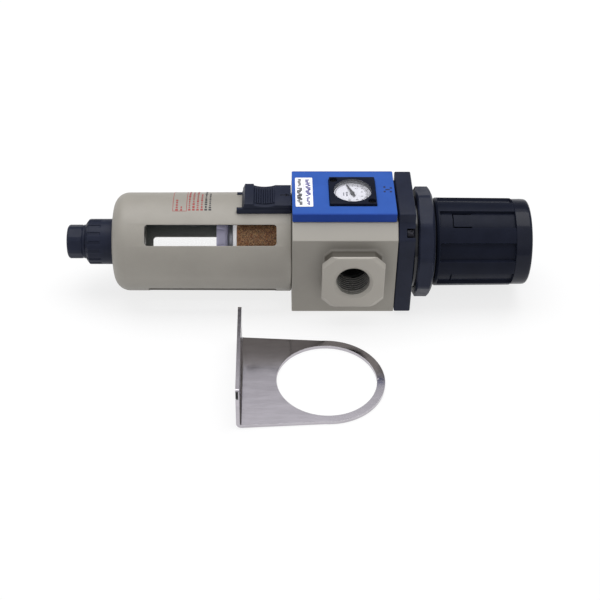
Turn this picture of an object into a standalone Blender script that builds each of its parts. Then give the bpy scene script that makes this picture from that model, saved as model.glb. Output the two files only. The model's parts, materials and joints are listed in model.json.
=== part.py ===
"""Compressed-air filter regulator with its filter bowl, gauge and mounting bracket.

The unit lies on its back. +X runs along the unit from the drain to the knob, +Z leaves the
cover and the gauge, and the ports open at -Y and +Y. The origin is at the centre of the
body's flat back face, below the port axis. Every length below is in millimetres.
"""
import math

import bmesh
import bpy
from mathutils import Matrix, Vector

MM = 0.001
GAP = 0.3            # left between pieces that touch
AXIS_Z = 29.0        # height of the unit's long axis over the body's back face

# Sides of a full circle
ROUND_LARGE = 32
ROUND_MEDIUM = 20
ROUND_SMALL = 12
ROUND_TINY = 8

# Body, and the outline that it shares with the cover and the bonnet flange
BODY_X0, BODY_X1 = -33.9, 24.6
BODY_HALF = 28.4
CHAMFER_Z = 50.9
TOP_HALF = 21.0
BODY_TOP = 58.2
COVER_TOP = 63.7
BOSS_HALF = 17.4
BOSS_CORNER = 7.5
BOSS_FACE = 38.0
PORT_R = 9.32
PORT_MOUTH_R = 11.3
SCREW_Y = 22.8       # flange screws, either side of the unit's middle
SCREW_Z = 22.6       # flange screws, over and under the long axis

# Gauge
GAUGE_HALF = 12.9
GAUGE_TOP = 65.3
GAUGE_CASE_Z0 = 50.0
GAUGE_FLOOR_Z = 51.8
DIAL_R = 9.9
POINTER_DEG = 110.0
GAUGE_SCREW = (10.4, 10.2)

# Regulator side
FLANGE_X0, FLANGE_X1 = BODY_X1 + GAP, 34.2
NECK_R = 26.3
NUT_X0, NUT_X1 = 36.4, 45.8
NUT_R = 32.1
NUT_SIDES = 10
KNOB_X0, KNOB_X1 = 47.2, 101.2
KNOB_R = 25.4
KNOB_GROOVE_R = 23.4
KNOB_CAP_R = 24.6
KNOB_GROOVE_X0, KNOB_GROOVE_X1 = 49.1, 91.4
KNOB_SLOT_X0, KNOB_SLOT_X1 = 56.3, 67.2
KNOB_PADS = 8
SPRING_SEAT_X0 = 66.0

# Filter side
GUARD_X0, GUARD_X1 = -135.5, -34.2
GUARD_R = 28.5
WINDOW_X0, WINDOW_X1 = -116.4, -42.6
WINDOW_WIDTH = 12.0
WINDOW_DEG = 45.4
BOWL_R = 23.6
BOWL_INNER_R = 21.4
ELEMENT_R = 15.8
ELEMENT_X0, ELEMENT_X1 = -65.0, -39.9
TIE_R = 2.4

# Lock on the guard
LOCK_HALF = 9.85
LOCK_RAIL_TOP = AXIS_Z + 30.3
LOCK_TOP = AXIS_Z + 32.8
LOCK_HEAD_TOP = AXIS_Z + 33.7
LOCK_X1 = -34.5

# Drain
DRAIN_END = -163.0
DRAIN_NUT_R = 13.1
DRAIN_CAP_R = 9.75

# Bracket, lying in front of the unit
BRACKET_CENTRE = (-15.4, -84.0)
BRACKET_HOLE_R = 27.3
BRACKET_RIM = 4.4
BRACKET_SHEET = 2.0
BRACKET_FLANGE_X = -63.9
BRACKET_HALF_WIDTH = 34.4
BRACKET_HEIGHT = 27.0

PARTS = None
CUTTERS = None


# ---------------------------------------------------------------- scene and materials

def clear_scene():
    for obj in list(bpy.data.objects):
        bpy.data.objects.remove(obj, do_unlink=True)


def new_collection(name):
    collection = bpy.data.collections.new(name)
    bpy.context.scene.collection.children.link(collection)
    return collection


def material(name, colour, roughness, metallic=0.0, transmission=0.0):
    mat = bpy.data.materials.new(name)
    mat.use_nodes = True
    shader = mat.node_tree.nodes["Principled BSDF"]
    shader.inputs["Base Color"].default_value = (*colour, 1.0)
    shader.inputs["Roughness"].default_value = roughness
    shader.inputs["Metallic"].default_value = metallic
    shader.inputs["Transmission Weight"].default_value = transmission
    return mat


FINISHES = {
    "grey_paint": ((0.36, 0.34, 0.30), 0.5, 0.0, 0.0),
    "blue_plastic": ((0.05, 0.12, 0.52), 0.4, 0.0, 0.0),
    "black_plastic": ((0.02, 0.02, 0.03), 0.35, 0.0, 0.0),
    "white_plastic": ((0.82, 0.82, 0.82), 0.4, 0.0, 0.0),
    "label_white": ((0.9, 0.9, 0.9), 0.5, 0.0, 0.0),
    "lilac_plastic": ((0.42, 0.40, 0.58), 0.4, 0.0, 0.0),
    "clear_plastic": ((0.95, 0.97, 0.97), 0.05, 0.0, 1.0),
    "sintered_bronze": ((0.24, 0.13, 0.07), 0.8, 0.6, 0.0),
    "steel": ((0.55, 0.55, 0.56), 0.3, 1.0, 0.0),
    "nickel_sheet": ((0.60, 0.57, 0.53), 0.3, 1.0, 0.0),
    "brass": ((0.65, 0.48, 0.20), 0.3, 1.0, 0.0),
    "zinc": ((0.45, 0.46, 0.48), 0.45, 1.0, 0.0),
    "rubber": ((0.02, 0.02, 0.02), 0.8, 0.0, 0.0),
}


def finish(obj, kind):
    """Give an object a material of its own in one of the finishes above."""
    colour, roughness, metallic, transmission = FINISHES[kind]
    obj.data.materials.clear()
    obj.data.materials.append(
        material(obj.name + "_" + kind, colour, roughness, metallic, transmission))
    return obj


# ---------------------------------------------------------------- shape helpers

def place(name, data, location=(0, 0, 0), rotation=(0, 0, 0)):
    obj = bpy.data.objects.new(name, data)
    obj.location = Vector(location) * MM
    obj.rotation_euler = rotation
    PARTS.objects.link(obj)
    return obj


def as_cutter(obj):
    PARTS.objects.unlink(obj)
    CUTTERS.objects.link(obj)
    obj.hide_render = True
    obj.display_type = "WIRE"
    return obj


def boolean(obj, tool, operation="DIFFERENCE"):
    modifier = obj.modifiers.new(operation.title() + " " + tool.name, "BOOLEAN")
    modifier.operation = operation
    modifier.solver = "EXACT"
    modifier.object = tool


def cut(obj, *tools):
    for tool in tools:
        boolean(obj, as_cutter(tool))


def join(obj, *tools):
    for tool in tools:
        boolean(obj, as_cutter(tool), "UNION")


def bevel(obj, width, segments=1, angle=40):
    modifier = obj.modifiers.new("Bevel", "BEVEL")
    modifier.width = width * MM
    modifier.segments = segments
    modifier.limit_method = "ANGLE"
    modifier.angle_limit = math.radians(angle)
    modifier.use_clamp_overlap = True


def smooth(mesh, angle=35):
    mesh.shade_smooth()
    mesh.set_sharp_from_angle(angle=math.radians(angle))


def signed_area(points):
    following = points[1:] + points[:1]
    return sum(a[0] * b[1] - b[0] * a[1] for a, b in zip(points, following)) / 2


def arc(centre, radius, start, end, steps):
    """Points on a circle, angles in degrees, both ends included."""
    points = []
    for i in range(steps + 1):
        angle = math.radians(start + (end - start) * i / steps)
        points.append((centre[0] + radius * math.cos(angle), centre[1] + radius * math.sin(angle)))
    return points


def fillet(corners, radius, steps=3):
    """Round every corner of a closed outline."""
    rounded = []
    for i, corner in enumerate(corners):
        here = Vector(corner)
        before = (Vector(corners[i - 1]) - here).normalized()
        after = (Vector(corners[(i + 1) % len(corners)]) - here).normalized()
        half = before.angle(after) / 2
        reach = radius / math.tan(half)
        middle = here + (before + after).normalized() * (radius / math.sin(half))
        start = here + before * reach - middle
        end = here + after * reach - middle
        for k in range(steps + 1):
            direction = start.lerp(end, k / steps).normalized()
            rounded.append(tuple(middle + direction * radius))
    return rounded


def turned(name, profile, sides=ROUND_MEDIUM, axis="X", centre=(0, 0, AXIS_Z)):
    """Turn a profile of (distance along the axis, radius) points about a line along X or Z."""
    points = [(radius, along) for along, radius in profile]
    if signed_area(points) > 0:
        points.reverse()
    ring = min(radius for radius, _ in points) > 1e-6
    if not ring:
        start = next(i for i, p in enumerate(points) if p[0] < 1e-6 and points[i - 1][0] < 1e-6)
        points = points[start:] + points[:start]
    mesh = bpy.data.meshes.new(name)
    edges = [(i, i + 1) for i in range(len(points) - 1)]
    if ring:
        edges.append((len(points) - 1, 0))
    mesh.from_pydata([(r * MM, 0, z * MM) for r, z in points], edges, [])
    turn = (0, math.pi / 2, 0) if axis == "X" else (0, 0, 0)
    obj = place(name, mesh, centre, turn)
    screw = obj.modifiers.new("Screw", "SCREW")
    screw.axis = "Z"
    screw.steps = sides
    screw.render_steps = sides
    screw.use_merge_vertices = True
    screw.merge_threshold = 0.00001
    screw.use_smooth_shade = True
    return obj


PLANES = {
    "X": Matrix(((0, 0, 1), (1, 0, 0), (0, 1, 0))),
    "Y": Matrix(((1, 0, 0), (0, 0, -1), (0, 1, 0))),
    "Z": Matrix.Identity(3),
}


def prism(name, loops, low, high, axis="X", origin=(0, 0, 0)):
    """Extrude flat outlines along an axis from low to high.

    The outlines' own coordinates are (y, z) for axis X, (x, z) for Y and (x, y) for Z, and they
    are counted from the origin. The first is the outer edge and any others are holes.
    """
    curve = bpy.data.curves.new(name, "CURVE")
    curve.dimensions = "2D"
    curve.fill_mode = "BOTH"
    curve.extrude = (high - low) / 2 * MM
    for loop in loops:
        spline = curve.splines.new("POLY")
        spline.points.add(len(loop) - 1)
        for point, (u, v) in zip(spline.points, loop):
            point.co = (u * MM, v * MM, 0, 1)
        spline.use_cyclic_u = True
    source = bpy.data.objects.new(name + "_outline", curve)
    PARTS.objects.link(source)
    bpy.context.view_layer.update()
    graph = bpy.context.evaluated_depsgraph_get()
    mesh = bpy.data.meshes.new_from_object(source.evaluated_get(graph))
    bpy.data.objects.remove(source, do_unlink=True)
    middle = (low + high) / 2 * (-1 if axis == "Y" else 1)
    mesh.transform(Matrix.Translation((0, 0, middle * MM)))
    mesh.transform(PLANES[axis].to_4x4())
    weld(mesh)
    mesh.name = name
    return place(name, mesh, origin)


def weld(mesh):
    work = bmesh.new()
    work.from_mesh(mesh)
    bmesh.ops.remove_doubles(work, verts=work.verts, dist=0.000001)
    bmesh.ops.recalc_face_normals(work, faces=work.faces)
    work.to_mesh(mesh)
    work.free()


def box(name, low, high, rotation=(0, 0, 0), origin=(0, 0, 0)):
    """A block between two corners counted from the origin, which is also its turning point."""
    mesh = bpy.data.meshes.new(name)
    work = bmesh.new()
    bmesh.ops.create_cube(work, size=1.0)
    size = Vector(high) - Vector(low)
    middle = (Vector(high) + Vector(low)) / 2
    bmesh.ops.scale(work, vec=size * MM, verts=work.verts)
    bmesh.ops.translate(work, vec=middle * MM, verts=work.verts)
    work.to_mesh(mesh)
    work.free()
    return place(name, mesh, origin, rotation)


def rod(name, start, end, radius, sides=ROUND_SMALL, end_radius=None):
    """A plain cylinder or cone between two points."""
    run = (Vector(end) - Vector(start)) * MM
    mesh = bpy.data.meshes.new(name)
    work = bmesh.new()
    bmesh.ops.create_cone(
        work, cap_ends=True, segments=sides, depth=run.length,
        radius1=radius * MM, radius2=(end_radius or radius) * MM)
    work.to_mesh(mesh)
    work.free()
    smooth(mesh)
    obj = place(name, mesh, (Vector(start) + Vector(end)) / 2)
    obj.rotation_euler = run.to_track_quat("Z", "Y").to_euler()
    return obj


def wire(name, points, radius, resolution=2):
    """A round wire through points, in millimetres."""
    curve = bpy.data.curves.new(name, "CURVE")
    curve.dimensions = "3D"
    curve.bevel_depth = radius * MM
    curve.bevel_resolution = resolution
    curve.use_fill_caps = True
    spline = curve.splines.new("POLY")
    spline.points.add(len(points) - 1)
    for point, place_at in zip(spline.points, points):
        point.co = (*(Vector(place_at) * MM), 1)
    return place(name, curve)


def coil(name, start, end, radius, wire_radius, turns, centre=(0, AXIS_Z), steps=10):
    """A compression spring along X. Its end turns lie almost flat."""
    count = int(turns * steps)
    low = start + wire_radius
    length = end - start - 2 * wire_radius
    points = []
    for i in range(count + 1):
        angle = 2 * math.pi * i / steps
        share = i / count
        along = low + length * (share - 0.9 * math.sin(2 * math.pi * share) / (2 * math.pi))
        points.append((
            along,
            centre[0] + radius * math.cos(angle),
            centre[1] + radius * math.sin(angle)))
    return wire(name, points, wire_radius, 1)


def rectangle(half_u, half_v, centre=(0, 0)):
    u, v = centre
    return [
        (u - half_u, v - half_v), (u + half_u, v - half_v),
        (u + half_u, v + half_v), (u - half_u, v + half_v)]


def circle(radius, sides, centre=(0, 0), start=0.0):
    return arc(centre, radius, start, start + 360.0, sides)[:-1]


def corners():
    """The flange screws' four places, as (y, z)."""
    return [
        (side * SCREW_Y, AXIS_Z + level * SCREW_Z)
        for level in (1, -1) for side in (-1, 1)]


# ---------------------------------------------------------------- body and cover

def make_body():
    outline = [
        (-BODY_HALF, 0), (BODY_HALF, 0), (BODY_HALF, CHAMFER_Z),
        (TOP_HALF, BODY_TOP), (-TOP_HALF, BODY_TOP), (-BODY_HALF, CHAMFER_Z)]
    body = prism("body", [outline], BODY_X0, BODY_X1)
    bevel(body, 0.7, 1)
    octagon = []
    for su, sv in ((-1, -1), (1, -1), (1, 1), (-1, 1)):
        pair = [
            (su * (BOSS_HALF - BOSS_CORNER), sv * BOSS_HALF),
            (su * BOSS_HALF, sv * (BOSS_HALF - BOSS_CORNER))]
        octagon += pair if su * sv < 0 else pair[::-1]
    octagon = [(u, v + AXIS_Z) for u, v in octagon]
    inner = BODY_HALF - 2.0
    join(
        body,
        prism("boss_front", [octagon], -BOSS_FACE, -inner, "Y"),
        prism("boss_rear", [octagon], inner, BOSS_FACE, "Y"))
    chambers = turned("chambers", [
        (-36.0, 0.0), (-36.0, 26.5), (-28.0, 26.5), (-28.0, 24.4), (-20.0, 24.4),
        (-20.0, 21.5), (-14.0, 21.5), (-14.0, 12.0), (-22.0, 12.0), (-22.0, 8.5),
        (-6.8, 8.5), (-6.8, 5.5), (-5.0, 5.5), (-5.0, 11.0), (16.0, 11.0),
        (16.0, 21.0), (26.0, 21.0), (26.0, 0.0)], ROUND_LARGE)
    cut(
        body, chambers,
        rod("inlet_bore", (0, -40, AXIS_Z), (0, -14.5, AXIS_Z), PORT_R, ROUND_MEDIUM),
        rod("outlet_bore", (0, 40, AXIS_Z), (0, 9.0, AXIS_Z), PORT_R, ROUND_MEDIUM),
        rod("inlet_duct", (-4, -17.5, AXIS_Z), (-16, -17.5, AXIS_Z), 4.5),
        box("gauge_pocket", (-13.4, -13.4, 49.5), (13.4, 13.4, 60.0)),
        rod("gauge_passage", (0, 0, 50.0), (0, 0, 36.0), 2.5))
    for side, name in ((-1, "front"), (1, "rear")):
        depth = PORT_MOUTH_R - PORT_R
        cut(body, rod(
            name + "_countersink", (0, side * (BOSS_FACE + 1), AXIS_Z),
            (0, side * (BOSS_FACE - depth), AXIS_Z),
            PORT_MOUTH_R + 1, ROUND_MEDIUM, PORT_R))
    for i, (y, z) in enumerate(corners()):
        cut(body, rod("body_screw_hole_%d" % (i + 1), (12, y, z), (26, y, z), 2.3, ROUND_TINY))
    for i, side in enumerate((-1, 1)):
        x, y = side * GAUGE_SCREW[0], -side * GAUGE_SCREW[1]
        cut(body, rod("gauge_screw_hole_%d" % (i + 1), (x, y, 44), (x, y, 50), 1.4, ROUND_TINY))
    return finish(body, "grey_paint")


def make_cover():
    middle = (BODY_X0 + BODY_X1) / 2
    outline = rectangle((BODY_X1 - BODY_X0) / 2, TOP_HALF, (middle, 0))
    window = rectangle(GAUGE_HALF + GAP, GAUGE_HALF + GAP)
    cover = prism("front_cover", [outline, window], BODY_TOP + GAP, COVER_TOP, "Z")
    bevel(cover, 0.4, 1)
    finish(cover, "blue_plastic")
    label = prism(
        "cover_label", [fillet(rectangle(4.9, 14.0, (-27.2, 0)), 0.6, 2)],
        COVER_TOP + 0.1, COVER_TOP + 0.35, "Z")
    finish(label, "label_white")


# ---------------------------------------------------------------- gauge

def make_gauge():
    top = (0, 0, 0)
    case = prism(
        "gauge_case", [rectangle(GAUGE_HALF, GAUGE_HALF)], GAUGE_CASE_Z0, GAUGE_TOP, "Z")
    bevel(case, 0.3, 1)
    cut(case, turned("gauge_hollow", [
        (49.0, 0.0), (49.0, 2.5), (GAUGE_FLOOR_Z, 2.5), (GAUGE_FLOOR_Z, 9.4), (61.7, 9.4),
        (61.7, 10.55), (67.0, 10.55), (67.0, 0.0)], ROUND_MEDIUM, "Z", top))
    for i, side in enumerate((-1, 1)):
        x, y = side * GAUGE_SCREW[0], -side * GAUGE_SCREW[1]
        cut(case, turned("gauge_recess_%d" % (i + 1), [
            (49.0, 0.0), (49.0, 1.4), (63.5, 1.4), (63.5, 2.2), (66.0, 2.2), (66.0, 0.0)],
            ROUND_SMALL, "Z", (x, y, 0)))
        screw = turned("gauge_screw_%d" % (i + 1), [
            (45.0, 0.0), (45.0, 1.1), (63.7, 1.1), (63.7, 1.9), (64.5, 1.9), (65.0, 1.2),
            (65.0, 0.0)], ROUND_SMALL, "Z", (x, y, 0))
        cut(screw, box(
            "gauge_screw_slot_%d" % (i + 1), (-2.2, -0.25, 64.4), (2.2, 0.25, 66.0),
            (0, 0, math.radians(30)), (x, y, 0)))
        finish(screw, "steel")
    finish(case, "black_plastic")
    socket = turned("gauge_socket", [
        (44.0, 0.9), (44.0, 2.2), (52.1, 2.2), (52.1, 4.0), (54.4, 4.0), (54.4, 0.9)],
        ROUND_SMALL, "Z", top)
    finish(socket, "brass")
    tube_points = [(x, y, 56.0) for x, y in arc((0, 0), 7.6, 215, -60, 14)]
    finish(wire("bourdon_tube", tube_points, 0.8), "brass")
    plate = prism("movement_plate", [[
        *arc((0, 0), 2.2, -90, 90, 6), *arc((-6.0, 0), 1.6, 90, 270, 6)],
        circle(0.75, ROUND_TINY)], 57.6, 58.4, "Z")
    finish(plate, "brass")
    sector = prism("sector_gear", [[(1.2, -1.0), *arc((0, 0), 4.7, -32, 32, 8), (1.2, 1.0), (-1.4, 0)]],
                   58.8, 59.6, "Z", (-6.0, 0, 0))
    finish(sector, "brass")
    dial = turned("gauge_dial", [
        (62.0, 0.9), (62.5, 0.9), (62.5, DIAL_R + 0.3), (62.0, DIAL_R + 0.3)],
        ROUND_MEDIUM, "Z", top)
    finish(dial, "white_plastic")
    make_pointer(top)
    lens = turned("gauge_lens", [
        (62.8, 9.6), (62.8, 10.4), (65.5, 10.4), (65.9, 9.9), (66.2, 0.0), (65.3, 0.0),
        (65.0, 9.6)], ROUND_MEDIUM, "Z", top)
    finish(lens, "clear_plastic")


def make_pointer(top):
    pointer = turned("gauge_pointer", [
        (57.2, 0.0), (57.2, 0.5), (58.7, 0.5), (58.7, 0.95), (59.8, 0.95), (59.8, 0.5),
        (63.0, 0.5), (63.0, 1.1), (64.0, 1.1), (64.0, 0.0)], ROUND_TINY, "Z", top)
    needle = prism(
        "pointer_needle", [[(-2.6, -0.6), (8.4, -0.12), (8.4, 0.12), (-2.6, 0.6)]],
        63.2, 63.6, "Z")
    needle.rotation_euler.z = math.radians(POINTER_DEG)
    join(pointer, needle)
    finish(pointer, "black_plastic")


# ---------------------------------------------------------------- regulator side

def make_bonnet():
    outline = [
        (-BODY_HALF, 0), (BODY_HALF, 0), (BODY_HALF, CHAMFER_Z), (TOP_HALF, BODY_TOP),
        (TOP_HALF, COVER_TOP), (-TOP_HALF, COVER_TOP), (-TOP_HALF, BODY_TOP),
        (-BODY_HALF, CHAMFER_Z)]
    bonnet = prism("bonnet", [outline], FLANGE_X0, FLANGE_X1)
    bevel(bonnet, 0.6, 1)
    cut(bonnet, turned("diaphragm_recess", [
        (23.0, 0.0), (23.0, 24.6), (26.4, 24.6), (26.4, 21.6), (36.0, 21.6), (36.0, 0.0)],
        ROUND_MEDIUM))
    join(bonnet, turned("bonnet_neck", [
        (31.0, 20.4), (31.0, NECK_R), (46.3, NECK_R), (46.3, 24.3), (46.8, 24.3),
        (46.8, 20.3), (84.0, 20.3), (84.0, 4.4), (80.5, 4.4), (80.5, 17.8), (42.9, 17.8),
        (40.9, 20.4)], ROUND_LARGE))
    cut(bonnet, rod(
        "vent_hole", (56, -3, AXIS_Z + 12), (56, -4, AXIS_Z + 24), 1.2, ROUND_TINY))
    for i, (y, z) in enumerate(corners()):
        cut(bonnet, turned("flange_recess_%d" % (i + 1), [
            (24.0, 0.0), (24.0, 2.3), (29.3, 2.3), (29.3, 4.3), (35.5, 4.3), (35.5, 0.0)],
            ROUND_SMALL, "X", (0, y, z)))
        screw = turned("bonnet_screw_%d" % (i + 1), [
            (13.5, 0.0), (13.5, 2.0), (29.6, 2.0), (29.6, 3.2), (32.9, 3.2), (33.3, 2.8),
            (33.3, 0.0)], ROUND_SMALL, "X", (0, y, z))
        cut(screw, prism(
            "screw_socket_%d" % (i + 1), [circle(1.7, 6, (y, z))], 31.0, 34.5))
        finish(screw, "steel")
    finish(bonnet, "black_plastic")


def make_ring_nut():
    start = 90.0
    outline = [(y, z + AXIS_Z) for y, z in circle(NUT_R, NUT_SIDES, start=start)]
    nut = prism("ring_nut", [outline], NUT_X0, NUT_X1)
    boolean(nut, as_cutter(turned("nut_corners", [
        (NUT_X0 - 2, 0.0), (NUT_X0 - 2, NUT_R - 1.6), (NUT_X0 + 0.8, NUT_R + 1.0),
        (NUT_X1 - 2.2, NUT_R + 0.4), (NUT_X1, NUT_R - 3.6), (NUT_X1 + 2, NUT_R - 3.6),
        (NUT_X1 + 2, 0.0)], ROUND_LARGE)), "INTERSECT")
    cut(nut, turned("nut_bore", [
        (NUT_X0 - 2, 0.0), (NUT_X0 - 2, NECK_R + GAP), (NUT_X1 + 2, NECK_R + GAP),
        (NUT_X1 + 2, 0.0)], ROUND_LARGE))
    finish(nut, "black_plastic")


def knob_angle(index, period=360.0 / KNOB_PADS):
    """Angle of a groove's middle about X, from +Z towards -Y."""
    return period * (index + 0.5)


def make_knob():
    knob = turned("knob", [
        (KNOB_X1, 0.0), (KNOB_X1, 21.6), (KNOB_X1 - 0.6, 23.0), (KNOB_X1 - 2.0, KNOB_CAP_R - 0.1),
        (KNOB_GROOVE_X1 + 0.5, KNOB_CAP_R), (KNOB_GROOVE_X1 + 0.1, 25.0),
        (KNOB_GROOVE_X0 - 0.3, KNOB_R), (KNOB_X0 + 0.7, 25.1), (KNOB_X0, 24.2), (KNOB_X0, 21.6),
        (KNOB_X1 - 3.6, 21.6), (KNOB_X1 - 3.6, 9.4), (88.4, 9.4), (88.4, 6.7),
        (KNOB_X1 - 4.8, 6.7), (KNOB_X1 - 4.8, 0.0)], ROUND_LARGE)
    inner = []
    groove_half = 12.7
    for i in range(KNOB_PADS):
        middle = knob_angle(i)
        inner += arc((0, AXIS_Z), KNOB_GROOVE_R, middle - groove_half, middle + groove_half, 2)
        inner += arc((0, AXIS_Z), KNOB_R + 2.0, middle + groove_half + 1.5,
                     middle + 360.0 / KNOB_PADS - groove_half - 1.5, 1)
    outer = circle(KNOB_R + 6.0, ROUND_MEDIUM, (0, AXIS_Z))
    cut(knob, prism("knob_grooves", [outer, inner], KNOB_GROOVE_X0, KNOB_GROOVE_X1 + 1.3))
    for i in range(0, KNOB_PADS, 2):
        slot = box(
            "knob_slot_%d" % (i // 2 + 1), (KNOB_SLOT_X0, -4.7, KNOB_GROOVE_R - 1.1),
            (KNOB_SLOT_X1, 4.7, KNOB_GROOVE_R + 3), (math.radians(knob_angle(i)), 0, 0),
            (0, 0, AXIS_Z))
        cut(knob, slot)
    finish(knob, "black_plastic")


def make_setting_parts():
    spindle = turned("adjusting_screw", [
        (48.5, 0.0), (48.5, 3.4), (49.2, 4.0), (84.4, 4.0), (84.4, 8.0), (86.9, 8.0),
        (86.9, 6.3), (KNOB_X1 - 6.4, 6.3), (KNOB_X1 - 6.4, 0.0)], ROUND_SMALL)
    finish(spindle, "steel")
    seat = turned("spring_seat", [
        (SPRING_SEAT_X0, 4.3), (SPRING_SEAT_X0, 17.2), (SPRING_SEAT_X0 + 3.5, 17.2),
        (SPRING_SEAT_X0 + 3.5, 8.0), (SPRING_SEAT_X0 + 9.0, 8.0),
        (SPRING_SEAT_X0 + 9.0, 4.3)], ROUND_MEDIUM)
    finish(seat, "brass")
    finish(coil("regulating_spring", 30.4, SPRING_SEAT_X0 - GAP, 12.2, 1.5, 5.5), "steel")
    plate = turned("diaphragm_plate", [
        (26.9, 3.3), (26.9, 14.0), (28.2, 15.6), (30.1, 15.6), (30.1, 8.6), (32.5, 8.6),
        (32.5, 3.3)], ROUND_MEDIUM)
    finish(plate, "zinc")
    diaphragm = turned("diaphragm", [
        (25.2, 3.2), (25.2, 16.2), (27.0, 17.4), (27.0, 19.0), (25.2, 20.2), (25.2, 24.2),
        (26.1, 24.2), (26.1, 20.6), (27.9, 19.4), (27.9, 17.0), (26.1, 15.8), (26.1, 3.2)],
        ROUND_MEDIUM)
    finish(diaphragm, "rubber")
    relief = turned("relief_seat", [
        (22.0, 1.0), (22.0, 8.5), (24.9, 8.5), (24.9, 2.9), (34.0, 2.9), (34.0, 1.0)],
        ROUND_SMALL)
    finish(relief, "brass")


def make_valve():
    poppet = turned("poppet_valve", [
        (-24.0, 0.0), (-24.0, 2.3), (-12.4, 2.3), (-12.4, 6.9), (-9.6, 6.9), (-9.6, 1.5),
        (20.9, 1.5), (21.7, 0.9), (21.7, 0.0)], ROUND_SMALL)
    finish(poppet, "brass")
    seat = turned("valve_seat", [
        (-9.2, 4.9), (-9.2, 5.6), (-8.4, 6.2), (-8.4, 8.2), (-7.1, 8.2), (-7.1, 4.9)],
        ROUND_MEDIUM)
    finish(seat, "brass")
    guide = turned("valve_guide", [
        (-21.6, 2.6), (-21.6, 8.2), (-14.4, 8.2), (-14.4, 7.2), (-19.4, 7.2), (-19.4, 2.6)],
        ROUND_SMALL)
    for i in range(4):
        angle = math.radians(90 * i + 45)
        y, z = 4.9 * math.cos(angle), AXIS_Z + 4.9 * math.sin(angle)
        cut(guide, rod("guide_port_%d" % (i + 1), (-23, y, z), (-18, y, z), 1.3, ROUND_TINY))
    finish(guide, "brass")
    finish(coil("valve_spring", -19.1, -12.7, 3.6, 0.35, 4, steps=8), "steel")


# ---------------------------------------------------------------- filter side

def make_filter():
    deflector = turned("deflector", [
        (-37.8, TIE_R + 0.2), (-37.8, 20.6), (-34.8, 20.6), (-34.8, 14.0), (-20.4, 14.0),
        (-20.4, 12.4), (-34.8, 12.4), (-34.8, 5.0), (-30.0, 5.0), (-30.0, TIE_R + 0.2)],
        ROUND_MEDIUM)
    for i in range(8):
        angle = math.radians(45 * i + 20)
        cut(deflector, box(
            "swirl_slot_%d" % (i + 1), (-3.5, -0.9, 14.6), (3.5, 0.9, 19.6),
            (angle, 0, 0), (-36.3, 0, AXIS_Z)))
    for i in range(4):
        angle = math.radians(90 * i + 11)
        y, z = 8.7 * math.cos(angle), AXIS_Z + 8.7 * math.sin(angle)
        cut(deflector, rod("clean_port_%d" % (i + 1), (-40, y, z), (-33, y, z), 2.4, 10))
    finish(deflector, "white_plastic")
    element = turned("filter_element", [
        (ELEMENT_X0, 11.4), (ELEMENT_X0, ELEMENT_R), (ELEMENT_X1, ELEMENT_R),
        (ELEMENT_X1, 11.4)], ROUND_MEDIUM)
    finish(element, "sintered_bronze")
    inner_gasket = turned("element_gasket", [
        (-39.6, 11.6), (-39.6, 15.6), (-38.1, 15.6), (-38.1, 11.6)], ROUND_MEDIUM)
    finish(inner_gasket, "rubber")
    ring = turned("element_ring", [
        (-67.2, 11.8), (-67.2, 16.4), (-65.3, 16.4), (-65.3, 11.8)], ROUND_MEDIUM)
    finish(ring, "white_plastic")
    cap = turned("element_cap", [
        (-70.1, TIE_R + 0.2), (-70.1, 15.2), (-69.2, 16.6), (-67.5, 16.6), (-67.5, 11.0),
        (-65.6, 11.0), (-65.6, 9.0), (-67.5, 9.0), (-67.5, TIE_R + 0.2)], ROUND_MEDIUM)
    finish(cap, "zinc")
    baffle = turned("baffle", [
        (-70.4, TIE_R + 0.2), (-70.4, 15.6), (-72.6, 18.0), (-76.6, 19.4), (-76.4, 18.2),
        (-73.6, 16.6), (-72.4, 14.0), (-72.4, 6.0), (-76.0, 5.0), (-76.0, TIE_R + 0.2)],
        ROUND_MEDIUM)
    finish(baffle, "lilac_plastic")
    bolt = turned("tie_bolt", [
        (-80.0, 0.0), (-80.0, 4.2), (-76.3, 4.2), (-76.3, TIE_R), (-32.0, TIE_R),
        (-32.0, 0.0)], ROUND_SMALL)
    finish(bolt, "brass")


def make_bowl():
    end_arc = arc((-112.0, 9.6), 14.0, 90, 170, 4)
    inner_arc = arc((-112.0, 9.4), 12.0, 170, 90, 4)
    bowl = turned("bowl", [
        (-21.0, BOWL_INNER_R), (-21.0, 23.0), (-22.6, BOWL_R), (-23.0, BOWL_R),
        (-23.0, 22.3), (-25.4, 22.3), (-25.4, BOWL_R), (-36.0, BOWL_R), (-36.0, 25.4),
        (-38.6, 25.4), (-38.6, BOWL_R), *end_arc, (-126.6, 10.8), (-134.4, 10.8),
        (-134.4, 6.6), (-124.4, 6.6), (-124.4, 9.2), *inner_arc], ROUND_MEDIUM)
    finish(bowl, "clear_plastic")
    ring = turned("bowl_o_ring", [
        (x, 23.4 + r) for x, r in arc((-24.2, 0), 0.8, 0, 315, 7)], ROUND_MEDIUM)
    finish(ring, "rubber")


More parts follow.
